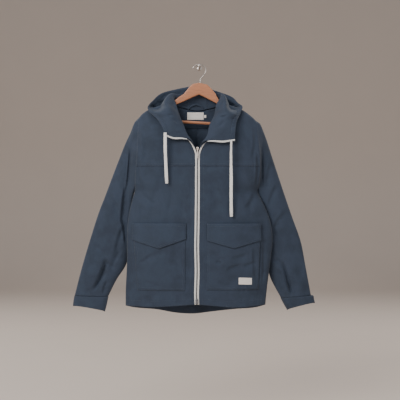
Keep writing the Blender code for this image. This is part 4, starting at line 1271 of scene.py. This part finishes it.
def patch_grid(across_count, down_count):
    a, b = np.meshgrid(span(across_count), span(down_count), indexing="ij")
    x = POCKET_PATCH[0] + (POCKET_PATCH[1] - POCKET_PATCH[0]) * a
    z = POCKET_PATCH[2] + (POCKET_PATCH[3] - POCKET_PATCH[2]) * b - (x - 162) * PATCH_TILT
    y = pocket_depth(POCKET_RIGHT, x, z) - 1.3
    y = y + 0.3 * np.sin(5 * math.pi * a) * np.exp(-((np.minimum(b, 1 - b) * 24 / 3) ** 2))
    return np.stack([x, y, z], -1)


def make_labels():
    a, b = np.meshgrid(span(90), span(30), indexing="ij")
    left, right = -84 - 22 * b, 60 + 22 * b
    x = left + (right - left) * a
    top = smooth(NECK_BACK[:, 0], NECK_BACK[:, 1], x) - 2.0
    z = top + (-222 - top) * b
    y = back_depth(x, z) - 2.6
    piece = cloth("facing_cloth", np.stack([x, y, z], -1), thick=1.2, replaces=("neck_facing",))
    for name, node, box, finish in (
        ("label_bare", "neck_label", NECK_LABEL, "label weave"),
        ("size_tab_bare", "size_tab", SIZE_TAB, "label weave"),
    ):
        a, b = np.meshgrid(span(41), span(21), indexing="ij")
        x = box[0] + (box[1] - box[0]) * a
        z = box[2] + (box[3] - box[2]) * b
        y = back_depth(x, z) - 4.9 - 0.5 * np.sin(math.pi * a) * b
        cloth(name, np.stack([x, y, z], -1), finish, thick=0.9, replaces=(node,))
    cloth("patch_bare", patch_grid(61, 31), "label weave", thick=0.9, replaces=("pocket_patch",))
    t = span(60)
    x = -41 + 58 * t
    z = -157 + 20 * np.sin(math.pi * t) ** 0.6
    y = back_depth(x, -157 + 0 * x) - 4.5 - 4.0 * np.sin(math.pi * t)
    lines = [np.stack([x, y - 0.5 * math.cos(h / 3.2 * 1.4), z + h], -1) for h in np.linspace(-3.2, 3.2, 9)]
    cloth("hang_loop_cloth", np.stack(lines, 1), thick=1.6, replaces=("hang_loop",))


# Zip

def zip_tape_line(side):
    """The sewn edge of a tape, up the front and along the hood's edge, and how far it is turned over."""
    z = np.linspace(ZIP_BOTTOM, ZIP_TOP - 2, 150)
    x = zip_x(z) + side * (ZIP_PANEL_EDGE - 0.8)
    sewn = np.stack([x, front_depth(x, z) - 0.2, z], -1)
    end = 0 if side < 0 else len(HOOD) - 1
    points = hood_rows()[end]
    edge = smooth(HOOD_KNOTS, points, np.linspace(0.02, 1, 96))
    edge[:, 1] -= 0.5
    edge[:, 2] -= 1.2
    first = 17
    turn = np.clip(np.linspace(0.35, 1.9, len(edge) - first), 0, 1)
    sewn = np.concatenate([sewn, edge[first:]])
    turn = np.concatenate([np.zeros(len(z)), turn])
    soft = np.ones(15) / 15
    near = slice(len(z) - 20, len(z) + 20)
    for k in range(3):
        sewn[near, k] = np.convolve(np.pad(sewn[:, k], 7, mode="edge"), soft, mode="valid")[near]
    turn = np.convolve(np.pad(turn, 7, mode="edge"), soft, mode="valid")
    return sewn, turn * math.pi / 2


def tape_across(side, turn):
    """The way across a tape, from its sewn edge to its teeth, turning from sideways to downwards."""
    width = np.stack([-side * np.cos(turn), -0.5 * np.sin(2 * turn), -np.sin(turn)], -1)
    return width / np.linalg.norm(width, axis=1, keepdims=True)


def make_tape(side, word):
    sewn, turn = zip_tape_line(side)
    width = tape_across(side, turn)
    lines = [sewn + width * ZIP_TAPE_WIDTH * k for k in np.linspace(-0.25, 1.0, 9)]
    return cloth("tape_" + word, np.stack(lines, 1), "zip tape", thick=1.2, replaces=("zip_tape_" + word,))


def make_teeth():
    """Closed teeth in two rows that mesh below the slider, and a row on each tape's free edge above it."""
    pitch = sizes().tooth_pitch / TO_METRES
    parts = []
    z = np.arange(ZIP_BOTTOM + 3, ZIP_TOP - 14, pitch)
    for side in (-1, 1):
        height = z + (pitch / 2 if side > 0 else 0)
        x = zip_x(height) + side * 0.75
        places, up = on_surface(front_depth, x, height, 0.5)
        ahead = np.tile((float(-side), 0.0, 0.0), (len(x), 1))
        parts.append(copies(BLOCK, BLOCK_FACES, places, ahead, up, (2.7, pitch * 0.62, 1.5)))
    for side in (-1, 1):
        sewn, turn = zip_tape_line(side)
        width = tape_across(side, turn)
        edge = sewn + width * ZIP_TAPE_WIDTH
        keep = edge[:, 2] > ZIP_TOP - 5
        both = even_steps(np.concatenate([edge[keep], width[keep]], 1), pitch)
        places, width = both[:, :3], both[:, 3:]
        ahead = np.gradient(places, axis=0)
        up = np.cross(width, ahead) * side
        parts.append(copies(BLOCK, BLOCK_FACES, places - 0.7 * up / np.linalg.norm(up, axis=1, keepdims=True),
                            width, up, (2.4, pitch * 0.62, 1.5)))
    points, faces = join(parts)
    add_piece("teeth", points, faces, "dull zip metal", ("zip_teeth",), smooth_shaded=False)


def rounded_ring(half_x, half_y, count, power):
    """A closed ring, square with round corners: cosine and sine raised to a power below 1."""
    turn = np.linspace(0, 2 * math.pi, count, endpoint=False)
    c, s = np.cos(turn), np.sin(turn)
    return half_x * np.sign(c) * np.abs(c) ** power, half_y * np.sign(s) * np.abs(s) ** power


def make_slider():
    """The slider's body, wide at the top where the tapes part, its two lugs, and the zip's foot box."""
    top = ZIP_TOP - 8.0
    low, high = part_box("zip_slider")
    low, high = np.array(low) / TO_METRES, np.array(high) / TO_METRES
    x, back = (low[0] + high[0]) / 2, high[1]
    steps = np.array([0.0, 0.06, 0.16, 0.4, 0.7, 0.88, 0.96, 1.0])
    half = np.array([2.6, 3.6, 4.1, 4.2, 4.6, 5.0, 4.5, 3.4])
    deep = np.array([0.7, 1.3, 1.6, 1.7, 1.7, 1.6, 1.3, 0.7])
    rings = []
    for k, a, b in zip(steps, half, deep):
        ring_x, ring_y = rounded_ring(a, b, 28, 0.55)
        height = np.full(28, low[2] + (high[2] - low[2]) * k)
        rings.append(np.stack([x + ring_x, back - 1.6 + ring_y, height], -1))
    tube("slider_body", np.array(rings), "polished zip metal", ("zip_slider",))
    for side in (-1, 1):
        rings = []
        for k in np.linspace(0, 1, 9):
            reach = 1.0 + 3.9 * math.sin(math.pi * k) ** 0.6
            ring_x, ring_y = rounded_ring(0.75, reach / 2, 16, 0.7)
            height = np.full(16, top - 3.4 + 7.6 * k)
            rings.append(np.stack([x + side * 3.9 + ring_x, back - 2.2 - reach / 2 + ring_y, height], -1))
        tube("slider_lug_" + ("left" if side < 0 else "right"), np.array(rings), "polished zip metal")
    low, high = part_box("zip_stop")
    low, high = np.array(low) / TO_METRES, np.array(high) / TO_METRES
    rings = []
    for k, shrink in ((0, 0.8), (0.04, 0.95), (0.12, 1), (0.88, 1), (0.96, 0.95), (1, 0.8)):
        ring_x, ring_y = rounded_ring(4.6 * shrink, 1.7 * shrink, 24, 0.5)
        height = np.full(24, low[2] + (high[2] - low[2]) * k)
        rings.append(np.stack([(low[0] + high[0]) / 2 + ring_x, (low[1] + high[1]) / 2 + ring_y, height], -1))
    tube("foot_box", np.array(rings), "dull zip metal", ("zip_stop",))


def make_pull():
    """The pull: a strip with a round eye at the pivot, a waist and a wider foot with a hole in it."""
    pivot = PULL_PIVOT
    x, y, z = pivot
    down = np.array([0.0, 1.9, 3.2, 5.5, 9, 14, 20, 25, 28, 31, 33.2, 34.8, 35.6, 36.0])
    half = np.array([1.2, 1.5, 1.6, 1.9, 2.3, 2.4, 2.4, 2.5, 2.6, 2.6, 2.5, 2.1, 1.5, 0.7])
    thick = np.array([0.9, 0.9, 0.7, 0.6, 0.6, 0.6, 0.6, 0.6, 0.6, 0.6, 0.6, 0.6, 0.5, 0.3])
    rings = []
    for d, a, b in zip(down, half, thick):
        ring_x, ring_y = rounded_ring(a, b, 20, 0.6)
        rings.append(np.stack([x + ring_x, y + ring_y, np.full(20, z - d)], -1))
    pull = tube("pull_strip", np.array(rings), "polished zip metal", ("zip_tab",), body="zip_pull")
    turn = np.linspace(0, 2 * math.pi, 33)
    for name, drop, radius, wire in (("pull_eye", 0.0, 1.5, 0.45), ("pull_foot_eye", 31.6, 1.35, 0.4)):
        if name == "pull_eye":
            path = np.stack([x + 0 * turn, y + radius * np.cos(turn), z - drop + radius * np.sin(turn)], -1)
            up = (1.0, 0.0, 0.0)
        else:
            height = z - drop + radius * np.sin(turn)
            path = np.stack([x + radius * np.cos(turn), y - 0.55 + 0 * turn, height], -1)
            up = (0.0, 1.0, 0.0)
        tube(name, sweep(path, wire, 8, up), "dull zip metal", body="zip_pull")
    return pull


# Hanger and peg

def make_arms():
    """The wooden arms: a bar of rounded oblong section along x, its top and bottom read from the table."""
    x = np.unique(np.concatenate([WOOD[:, 0], np.linspace(WOOD[0, 0], WOOD[-1, 0], 240)]))
    top_line = np.interp(x, WOOD[:, 0], WOOD[:, 1])
    top = np.where(np.abs(x) > ARM_FROM, shoulder_height(x) - ARM_DROP, top_line)
    low = np.interp(x, WOOD[:, 0], WOOD[:, 2])
    thick = np.interp(x, WOOD[:, 0], WOOD[:, 3])
    soft = np.array([1, 2, 3, 2, 1]) / 9.0
    top[2:-2] = np.convolve(top, soft, mode="valid")
    inner = slice(24, -24)
    low[inner] = np.convolve(np.pad(low, 2, mode="edge"), soft, mode="valid")[inner]
    ends = np.minimum(np.abs(x - x[0]), np.abs(x - x[-1]))
    close = np.sqrt(np.clip(1 - (1 - np.clip(ends / 5.0, 0, 1)) ** 2, 0.05, 1))
    ring_y, ring_z = rounded_ring(1.0, 1.0, 36, 0.34)
    ring_y, ring_z = ring_y / np.abs(ring_y).max(), ring_z / np.abs(ring_z).max()
    middle, half = (top + low) / 2, (top - low) / 2 * close
    rings = np.stack([
        x[:, None] + 0 * ring_y[None, :],
        HANGER_DEPTH + (thick * close)[:, None] * ring_y[None, :],
        middle[:, None] + half[:, None] * ring_z[None, :],
    ], -1)
    return tube("varnished_arms", rings, "varnished wood", ("hanger_wood",))


def make_hanger():
    make_arms()
    ends = np.array([(a, HANGER_DEPTH, b) for a, b in BAR_ENDS])
    tube("trouser_bar", sweep(ends[0] + (ends[1] - ends[0]) * span(24)[:, None], BAR_RADIUS, 32),
         "varnished wood", ("hanger_bar",))
    line = smooth(np.arange(len(HOOK)), HOOK, np.linspace(0, len(HOOK) - 1, 140))
    path = np.stack([line[:, 0], np.full(len(line), HANGER_DEPTH), line[:, 1]], -1)
    radius = np.full(len(path), WIRE_RADIUS)
    radius[:4] *= (0.35, 0.7, 0.9, 1.0)
    tube("wire_hook", sweep(path, radius, 18), "bright wire", ("hanger_hook",))
    collar = np.array([(-62.5, 2.2), (-62.0, 3.6), (-60.6, 4.0), (-59.4, 3.7), (-58.8, 2.4)])
    turn = np.linspace(0, 2 * math.pi, 28, endpoint=False)
    rings = [
        np.stack([3.5 + r * np.cos(turn), HANGER_DEPTH + r * np.sin(turn), h + 0 * turn], -1)
        for h, r in collar
    ]
    tube("hook_collar", np.array(rings), "bright wire")


def make_peg():
    """The peg is turned: a profile of radius and depth, from the plate on the wall to the round head."""
    r, plate = PEG_RADIUS, PEG_PLATE_RADIUS
    profile = [(plate - 0.6, 0), (plate, -0.5), (plate, -1.2), (plate - 0.4, -1.9), (plate - 1.6, -2.8),
               (r + 1.6, -3.2), (r + 0.4, -3.7), (r, -4.6), (r, -20), (r, -40), (r, -PEG_LENGTH + 9.4),
               (r + 0.1, -PEG_LENGTH + 8.7)]
    centre = -PEG_LENGTH + 4.6
    for angle in np.radians([-60, -48, -35, -22, -10, 3, 15, 27, 40, 51, 62, 71, 78, 84]):
        profile.append((PEG_HEAD_RADIUS * math.cos(angle), centre - 4.6 * math.sin(angle)))
    turn = np.linspace(0, 2 * math.pi, 40, endpoint=False)
    rings = np.array([np.stack([a * np.cos(turn), b + 0 * turn, a * np.sin(turn)], -1) for a, b in profile])
    tube("turned_peg", rings, "bright wire", ("wall_peg",))


# Cords

def make_cord(word, table, node):
    """A flat braid: an oval carried down the cord's line and turned with it, then a sealed tip."""
    tip = 9.0
    rows = smooth(np.arange(len(table)), table, np.linspace(0, len(table) - 1, 120))
    path, turn = rows[:, :3], np.radians(rows[:, 3])
    run = np.concatenate([[0], np.cumsum(np.linalg.norm(np.diff(path, axis=0), axis=1))])
    width = np.stack([np.cos(turn), -np.sin(turn), 0 * turn], -1)
    ahead = np.gradient(path, axis=0)
    ahead /= np.linalg.norm(ahead, axis=1, keepdims=True)
    out = np.cross(ahead, width)
    round_it = np.linspace(0, 2 * math.pi, 24, endpoint=False)
    c, s = np.cos(round_it), np.sin(round_it)
    flat_c = np.sign(c) * np.abs(c) ** 0.8
    wide = CORD_WIDTH / 2 * (1 + 0.03 * np.sin(run / 19.0) + 0.02 * np.sin(run / 7.3))

    def rings(keep, scale_wide, scale_thick):
        w = (wide[keep] * scale_wide)[:, None, None] * flat_c[None, :, None] * width[keep][:, None, :]
        t = (CORD_THICK / 2 * scale_thick)[:, None, None] * s[None, :, None] * out[keep][:, None, :]
        return path[keep][:, None, :] + w + t

    braid = run <= run[-1] - tip + 0.5
    sealed = run >= run[-1] - tip - 1.5
    ones = np.ones(braid.sum())
    piece = tube("cord_braid_" + word, rings(braid, ones, ones), "drawcord braid", (node,))
    ones = np.ones(sealed.sum())
    end = tube("cord_tip_" + word, rings(sealed, ones * 0.94, ones * 1.12), "sealed cord tip")
    tuple(path[0] * TO_METRES)
    (path[braid][::4] * TO_METRES).tolist() + [(path[braid][-1] * TO_METRES).tolist()]


# Stitching

def surface_rows():
    """Every stitched line: its points on the cloth and the way the cloth faces there."""
    rows = []
    half = 0.75
    for side in (-1, 1):
        x_out = outer_edge(side, np.array(YOKE_SEAM_HEIGHT)) - side * 2
        for drop in (-1.2, 5.6):
            z = np.full(110, YOKE_SEAM_HEIGHT + drop)
            x = np.linspace(float(inner_edge(side, z[:1])[0]) + side * 2, float(x_out), 110)
            rows.append(on_surface(lambda a, b: front_depth(a, b) - yoke_lap(b), x, z, half))
        z = np.linspace(YOKE_SEAM_HEIGHT - 6, HEM_HEIGHT + 6, 240)
        for inset in (2.4, 14.0):
            rows.append(on_surface(front_depth, zip_x(z) + side * (ZIP_PANEL_EDGE + inset), z, half))
        z = np.linspace(ZIP_TOP - 6, YOKE_SEAM_HEIGHT - 2, 40)
        for inset in (2.4, 14.0):
            x = zip_x(z) + side * (ZIP_PANEL_EDGE + inset)
            rows.append(on_surface(lambda a, b: front_depth(a, b) - yoke_lap(b), x, z, half))
        x = np.linspace(MIDDLE_X + side * 14, float(outer_edge(side, np.array(HEM_HEIGHT))) - side * 2, 130)
        for above in (3.0, 21.0):
            rows.append(on_surface(front_depth, x, hem_front(x) + above, half))
            back_x = np.linspace(MIDDLE_X, x[-1], 130)
            points, up = on_surface(back_depth, back_x, hem_back(back_x) + above, 0)
            rows.append((points - up * half, -up))
            rows.append((points + up * half, up))
    for flip in (-4.0, 4.0):
        z = np.linspace(-164, float(hem_back(np.array(MIDDLE_X))) + 4, 330)
        x = np.full(330, MIDDLE_X + flip)
        points, up = on_surface(back_depth, x, z, 0)
        rows.append((points - up * half, -up))
        rows.append((points + up * half, up))
    for pocket, flap in ((POCKET_LEFT, FLAP_LEFT), (POCKET_RIGHT, FLAP_RIGHT)):
        def depth(a, b, pocket=pocket):
            return pocket_depth(pocket, a, b)

        def lid(a, b, pocket=pocket, flap=flap):
            return flap_depth(pocket, flap, a, b)

        for inset in (2.2, 9.0):
            b = span(70)
            z = pocket[4] - 8 + (pocket[5] + inset - pocket[4] + 8) * b
            left, right = pocket_sides(pocket, (z - pocket[4]) / (pocket[5] - pocket[4]))
            rows.append(on_surface(depth, left + inset, z, half))
            rows.append(on_surface(depth, right - inset, z, half))
            x = np.linspace(left[-1] + inset, right[-1] - inset, 80)
            rows.append(on_surface(depth, x, np.full(80, z[-1]), half))
        for inset in (2.2, 8.6):
            a = np.linspace(inset / 190, 1 - inset / 190, 100)
            x = flap[0] + (flap[1] - flap[0]) * a
            corner = np.where(a < 0.5, flap[3], flap[5])
            low = flap[4] + (corner - flap[4]) * np.abs(2 * a - 1)
            rows.append(on_surface(lid, x, low + inset, 1.3))
            if inset < 5:
                z = np.linspace(flap[2] - 2, flap[3] + inset, 30)
                rows.append(on_surface(lid, np.full(30, flap[0] + inset), z, 1.3))
                z = np.linspace(flap[2] - 2, flap[5] + inset, 30)
                rows.append(on_surface(lid, np.full(30, flap[1] - inset), z, 1.3))
            rows.append(on_surface(lid, x, np.full(100, flap[2] - inset * 1.2), 1.3))
    return rows


def grid_stitches():
    """Stitched lines that follow the rows and columns of the sleeves, the cuffs and the hood."""
    rows = []
    half = 0.75
    for side in (-1, 1):
        grid = sleeve_grid(side, 120, 190)
        facing = -1 if (normals(grid, True)[30, 40, 1] > 0) else 1
        u = np.linspace(0, 120, 260)
        rows.append(along_grid(grid, u, np.full(260, 3.0), half * facing, True))
        cuff = cuff_grid(side, 96, 22)
        facing_cuff = -1 if (normals(cuff, True)[24, 10, 1] > 0) else 1
        for at in (1.6, 19.4):
            rows.append(along_grid(cuff, np.linspace(0, 96, 200), np.full(200, at), 1.2 * facing_cuff, True))
        for line in rows[-3:]:
            if facing < 0:
                line[1][:] *= -1
    for start, end in ((0.0, 16.0),):
        grid = hood_grid(start, end, 330, 96)
        run = np.cumsum(np.linalg.norm(np.diff(grid, axis=1), axis=-1), 1)
        run = np.concatenate([np.zeros((len(grid), 1)), run], 1)
        for inset in (3.0, 17.0):
            column = np.array([np.interp(r[-1] - inset, r, np.arange(96)) for r in run])
            for facing in (-1, 1):
                points, up = along_grid(grid, np.arange(330.0), column, half * facing)
                rows.append((points, up * facing))
        for row in (HOOD_CENTRE_FROM, HOOD_CENTRE_TO):
            for beside in (-0.09, 0.09):
                u = np.full(200, (row + beside) / 16 * 329)
                for facing in (-1, 1):
                    points, up = along_grid(grid, u, np.linspace(1, 94, 200), (half + 0.7) * facing)
                    rows.append((points, up * facing))
        for at in (1.2, 3.2):
            for u in (at, 329 - at):
                points, up = along_grid(grid, np.full(140, u), np.linspace(8, 94, 140), half)
                rows.append((points, up))
                points, up = along_grid(grid, np.full(140, u), np.linspace(8, 94, 140), -half)
                rows.append((points, -up))
    return rows


def make_stitching():
    points, faces = join([stitch_row(path, up) for path, up in surface_rows()])
    add_piece("stitching_body", points, faces, "sewing thread")
    points, faces = join([stitch_row(path, up) for path, up in grid_stitches()])
    add_piece("stitching_sleeves_hood", points, faces, "sewing thread")


# Stage

def make_stage():
    """A pale floor that curves up behind the jacket, far enough off for a soft background."""
    s = bpy.context.scene.jacket_stage
    x = np.linspace(-9, 9, 3)
    t = span(60)
    arc = np.clip((t - 0.55) / 0.2, 0, 1) * math.pi / 2
    y = np.where(t < 0.55, -6 + 10.5 * t / 0.55, 4.5 + 1.5 * np.sin(arc))
    z = np.where(t < 0.75, 1.5 * (1 - np.cos(arc)), 1.5 + (t - 0.75) / 0.25 * 6)
    points = np.stack(np.broadcast_arrays(x[:, None], y[None, :], s.floor_height + z[None, :]), -1)
    number = np.arange(180).reshape(3, 60)
    quads = np.stack([number[:-1, :-1], number[1:, :-1], number[1:, 1:], number[:-1, 1:]], -1).reshape(-1, 4)
    mesh = bpy.data.meshes.new("floor_sweep")
    mesh.from_pydata(points.reshape(-1, 3).tolist(), [], quads.tolist())
    mesh.polygons.foreach_set("use_smooth", [True] * len(mesh.polygons))
    floor = Finish("pale floor", Roughness=0.9)
    soft = floor.grain(3.0, 2.0)
    floor.colour(floor.blend(soft, shade(s.floor_colour, 0.98), shade(s.floor_colour, 1.02)))
    mesh.materials.append(floor.material)
    sweep_object = bpy.data.objects.new("floor_sweep", mesh)
    bpy.context.scene.collection.objects.link(sweep_object)
    for name, place, turn, size, power in (
        ("key light", (-1.7, -2.6, 1.0), (62, 0, -33), 1.6, s.key_power),
        ("fill light", (2.2, -3.0, 0.1), (84, 0, 36), 2.6, s.fill_power),
        ("top light", (-0.2, -0.6, 2.4), (12, 0, 0), 1.8, s.top_power),
        ("rear light left", (-2.5, 2.3, 1.3), (62, 0, -133), 1.6, s.rear_power),
        ("rear light right", (2.5, 2.3, 1.3), (62, 0, 133), 1.6, s.rear_power),
    ):
        light = bpy.data.lights.new(name, "AREA")
        light.energy = power
        light.size = size
        lamp = bpy.data.objects.new(name, light)
        lamp.location = place
        lamp.rotation_euler = [math.radians(a) for a in turn]
        bpy.context.scene.collection.objects.link(lamp)
    world = bpy.data.worlds.new("studio")
    world.use_nodes = True
    background = world.node_tree.nodes["Background"]
    background.inputs["Color"].default_value = (0.93, 0.95, 1.0, 1.0)
    background.inputs["Strength"].default_value = s.ambient
    bpy.context.scene.world = world
    lens = bpy.data.cameras.new("camera")
    lens.lens = 75.0
    lens.sensor_width = 36.0
    camera = bpy.data.objects.new("camera", lens)
    camera.location = (0.0025, -3.065, -0.4832)
    camera.rotation_euler = (math.pi / 2, 0.0, 0.0)
    bpy.context.scene.collection.objects.link(camera)
    bpy.context.scene.camera = camera


# Settings

def colour_setting(name, about, value):
    return bpy.props.FloatVectorProperty(name=name, description=about, default=value, subtype="COLOR")


def length_setting(name, about, metres):
    return bpy.props.FloatProperty(name=name, description=about, default=metres, unit="LENGTH")


def power_setting(name, about, watts):
    return bpy.props.FloatProperty(name=name, description=about, default=watts, unit="POWER")


class JacketSizes(bpy.types.PropertyGroup):
    """Sizes a maker would change"""

    cloth_thickness: length_setting("Cloth thickness", "Thickness of the shell cloth", 0.0015)
    thread_pitch: length_setting("Weave pitch", "Distance of two threads of the weave", 0.0009)
    stitch_pitch: length_setting("Stitch pitch", "Length of one stitch with its gap", 0.0032)
    tooth_pitch: length_setting("Tooth pitch", "Distance of two teeth of the zip", 0.0021)


class JacketColours(bpy.types.PropertyGroup):
    """Colours of the jacket, its trim and its hanger"""

    cloth: colour_setting("Shell cloth", "Colour of the proofed cotton", (0.0315, 0.0445, 0.070))
    thread: colour_setting("Thread", "Colour of the stitching", (0.040, 0.054, 0.083))
    tape: colour_setting("Zip tape", "Colour of the zip's tapes", (0.80, 0.78, 0.74))
    cord: colour_setting("Drawcord", "Colour of the drawcords", (0.95, 0.92, 0.88))
    label: colour_setting("Labels", "Colour of the bare labels", (0.84, 0.78, 0.72))
    wood: colour_setting("Wood", "Colour of the varnished hanger", (0.44, 0.175, 0.083))
    wire: colour_setting("Wire and peg", "Colour of the hook and the peg", (0.5, 0.45, 0.41))
    zip_metal: colour_setting("Zip metal", "Colour of the teeth and the slider", (0.24, 0.24, 0.25))


class JacketStage(bpy.types.PropertyGroup):
    """Floor and light"""

    floor_height: length_setting("Floor", "Height of the floor below the peg", -1.3)
    floor_colour: colour_setting("Floor colour", "Colour of the floor", (0.66, 0.56, 0.48))
    key_power: power_setting("Key light", "Power of the light from the upper left", 78.0)
    fill_power: power_setting("Fill light", "Power of the light from the right", 22.0)
    top_power: power_setting("Top light", "Power of the light from above", 20.0)
    rear_power: power_setting("Rear lights", "Power of the two lights behind the jacket", 45.0)
    ambient: bpy.props.FloatProperty(
        name="Ambient", description="Strength of the light from all round", default=0.36
    )


# Operators

class JacketOperator:
    bl_options = {"REGISTER", "UNDO"}


class JACKET_OT_stage(JacketOperator, bpy.types.Operator):
    """Floor, lights and camera"""

    bl_idname = "jacket.stage"
    bl_label = "Stage"

    def execute(self, context):
        make_stage()
        return {"FINISHED"}


class JACKET_OT_cords(JacketOperator, bpy.types.Operator):
    """The two flat drawcords with their sealed tips"""

    bl_idname = "jacket.cords"
    bl_label = "Drawcords"

    def execute(self, context):
        make_cord("left", CORD_LEFT, "cord_left")
        make_cord("right", CORD_RIGHT, "cord_right")
        return {"FINISHED"}


class JACKET_OT_body(JacketOperator, bpy.types.Operator):
    """Yokes, fronts and backs"""

    bl_idname = "jacket.body"
    bl_label = "Body"

    def execute(self, context):
        for side, word in SIDES:
            make_yoke(side, word)
            make_front(side, word)
            make_back(side, word)
        return {"FINISHED"}


class JACKET_OT_sleeves(JacketOperator, bpy.types.Operator):
    """Sleeves and cuffs"""

    bl_idname = "jacket.sleeves"
    bl_label = "Sleeves"

    def execute(self, context):
        for side, word in SIDES:
            make_sleeve(side, word)
            make_cuff(side, word)
        return {"FINISHED"}


class JACKET_OT_hood(JacketOperator, bpy.types.Operator):
    """The dropped hood: two sides and the panel between them"""

    bl_idname = "jacket.hood"
    bl_label = "Hood"

    def execute(self, context):
        make_hood()
        return {"FINISHED"}


class JACKET_OT_pockets(JacketOperator, bpy.types.Operator):
    """Patch pockets with pointed flaps"""

    bl_idname = "jacket.pockets"
    bl_label = "Pockets"

    def execute(self, context):
        make_pocket("left", POCKET_LEFT, FLAP_LEFT)
        make_pocket("right", POCKET_RIGHT, FLAP_RIGHT)
        return {"FINISHED"}


class JACKET_OT_labels(JacketOperator, bpy.types.Operator):
    """Neck facing, hanging loop and the bare labels"""

    bl_idname = "jacket.labels"
    bl_label = "Labels"

    def execute(self, context):
        make_labels()
        return {"FINISHED"}


class JACKET_OT_zip(JacketOperator, bpy.types.Operator):
    """Tapes, teeth, slider, foot and pull of the zip"""

    bl_idname = "jacket.zip"
    bl_label = "Zip"

    def execute(self, context):
        for side, word in SIDES:
            make_tape(side, word)
        make_teeth()
        make_slider()
        make_pull()
        return {"FINISHED"}


class JACKET_OT_hanger(JacketOperator, bpy.types.Operator):
    """Wooden hanger with its bar and hook, and the peg in the wall"""

    bl_idname = "jacket.hanger"
    bl_label = "Hanger"

    def execute(self, context):
        make_hanger()
        make_peg()
        return {"FINISHED"}


class JACKET_OT_stitching(JacketOperator, bpy.types.Operator):
    """Rows of stitches along the seams, hems, pockets and channels"""

    bl_idname = "jacket.stitching"
    bl_label = "Stitching"

    def execute(self, context):
        make_stitching()
        return {"FINISHED"}


OPERATORS = (
    JACKET_OT_stage,
    JACKET_OT_cords,
    JACKET_OT_body,
    JACKET_OT_sleeves,
    JACKET_OT_hood,
    JACKET_OT_pockets,
    JACKET_OT_labels,
    JACKET_OT_zip,
    JACKET_OT_hanger,
    JACKET_OT_stitching,
)


class JACKET_PT_panel(bpy.types.Panel):
    """Settings and pieces of the jacket"""

    bl_idname = "JACKET_PT_panel"
    bl_label = "Jacket"
    bl_space_type = "VIEW_3D"
    bl_region_type = "UI"
    bl_category = "Jacket"

    def draw(self, context):
        for group in (context.scene.jacket_sizes, context.scene.jacket_colours, context.scene.jacket_stage):
            box = self.layout.box()
            for name in group.__annotations__:
                box.prop(group, name)
        for operator in OPERATORS:
            self.layout.operator(operator.bl_idname)


GROUPS = (("jacket_sizes", JacketSizes), ("jacket_colours", JacketColours), ("jacket_stage", JacketStage))


def register():
    for name, group in GROUPS:
        bpy.utils.register_class(group)
        setattr(bpy.types.Scene, name, bpy.props.PointerProperty(type=group))
    for operator in OPERATORS:
        bpy.utils.register_class(operator)
    bpy.utils.register_class(JACKET_PT_panel)


def unregister():
    bpy.utils.unregister_class(JACKET_PT_panel)
    for operator in reversed(OPERATORS):
        bpy.utils.unregister_class(operator)
    for name, group in reversed(GROUPS):
        delattr(bpy.types.Scene, name)
        bpy.utils.unregister_class(group)


def main():
    register()
    for operator in OPERATORS:
        group, name = operator.bl_idname.split(".")
        getattr(getattr(bpy.ops, group), name)()


if __name__ == "__main__":
    main()
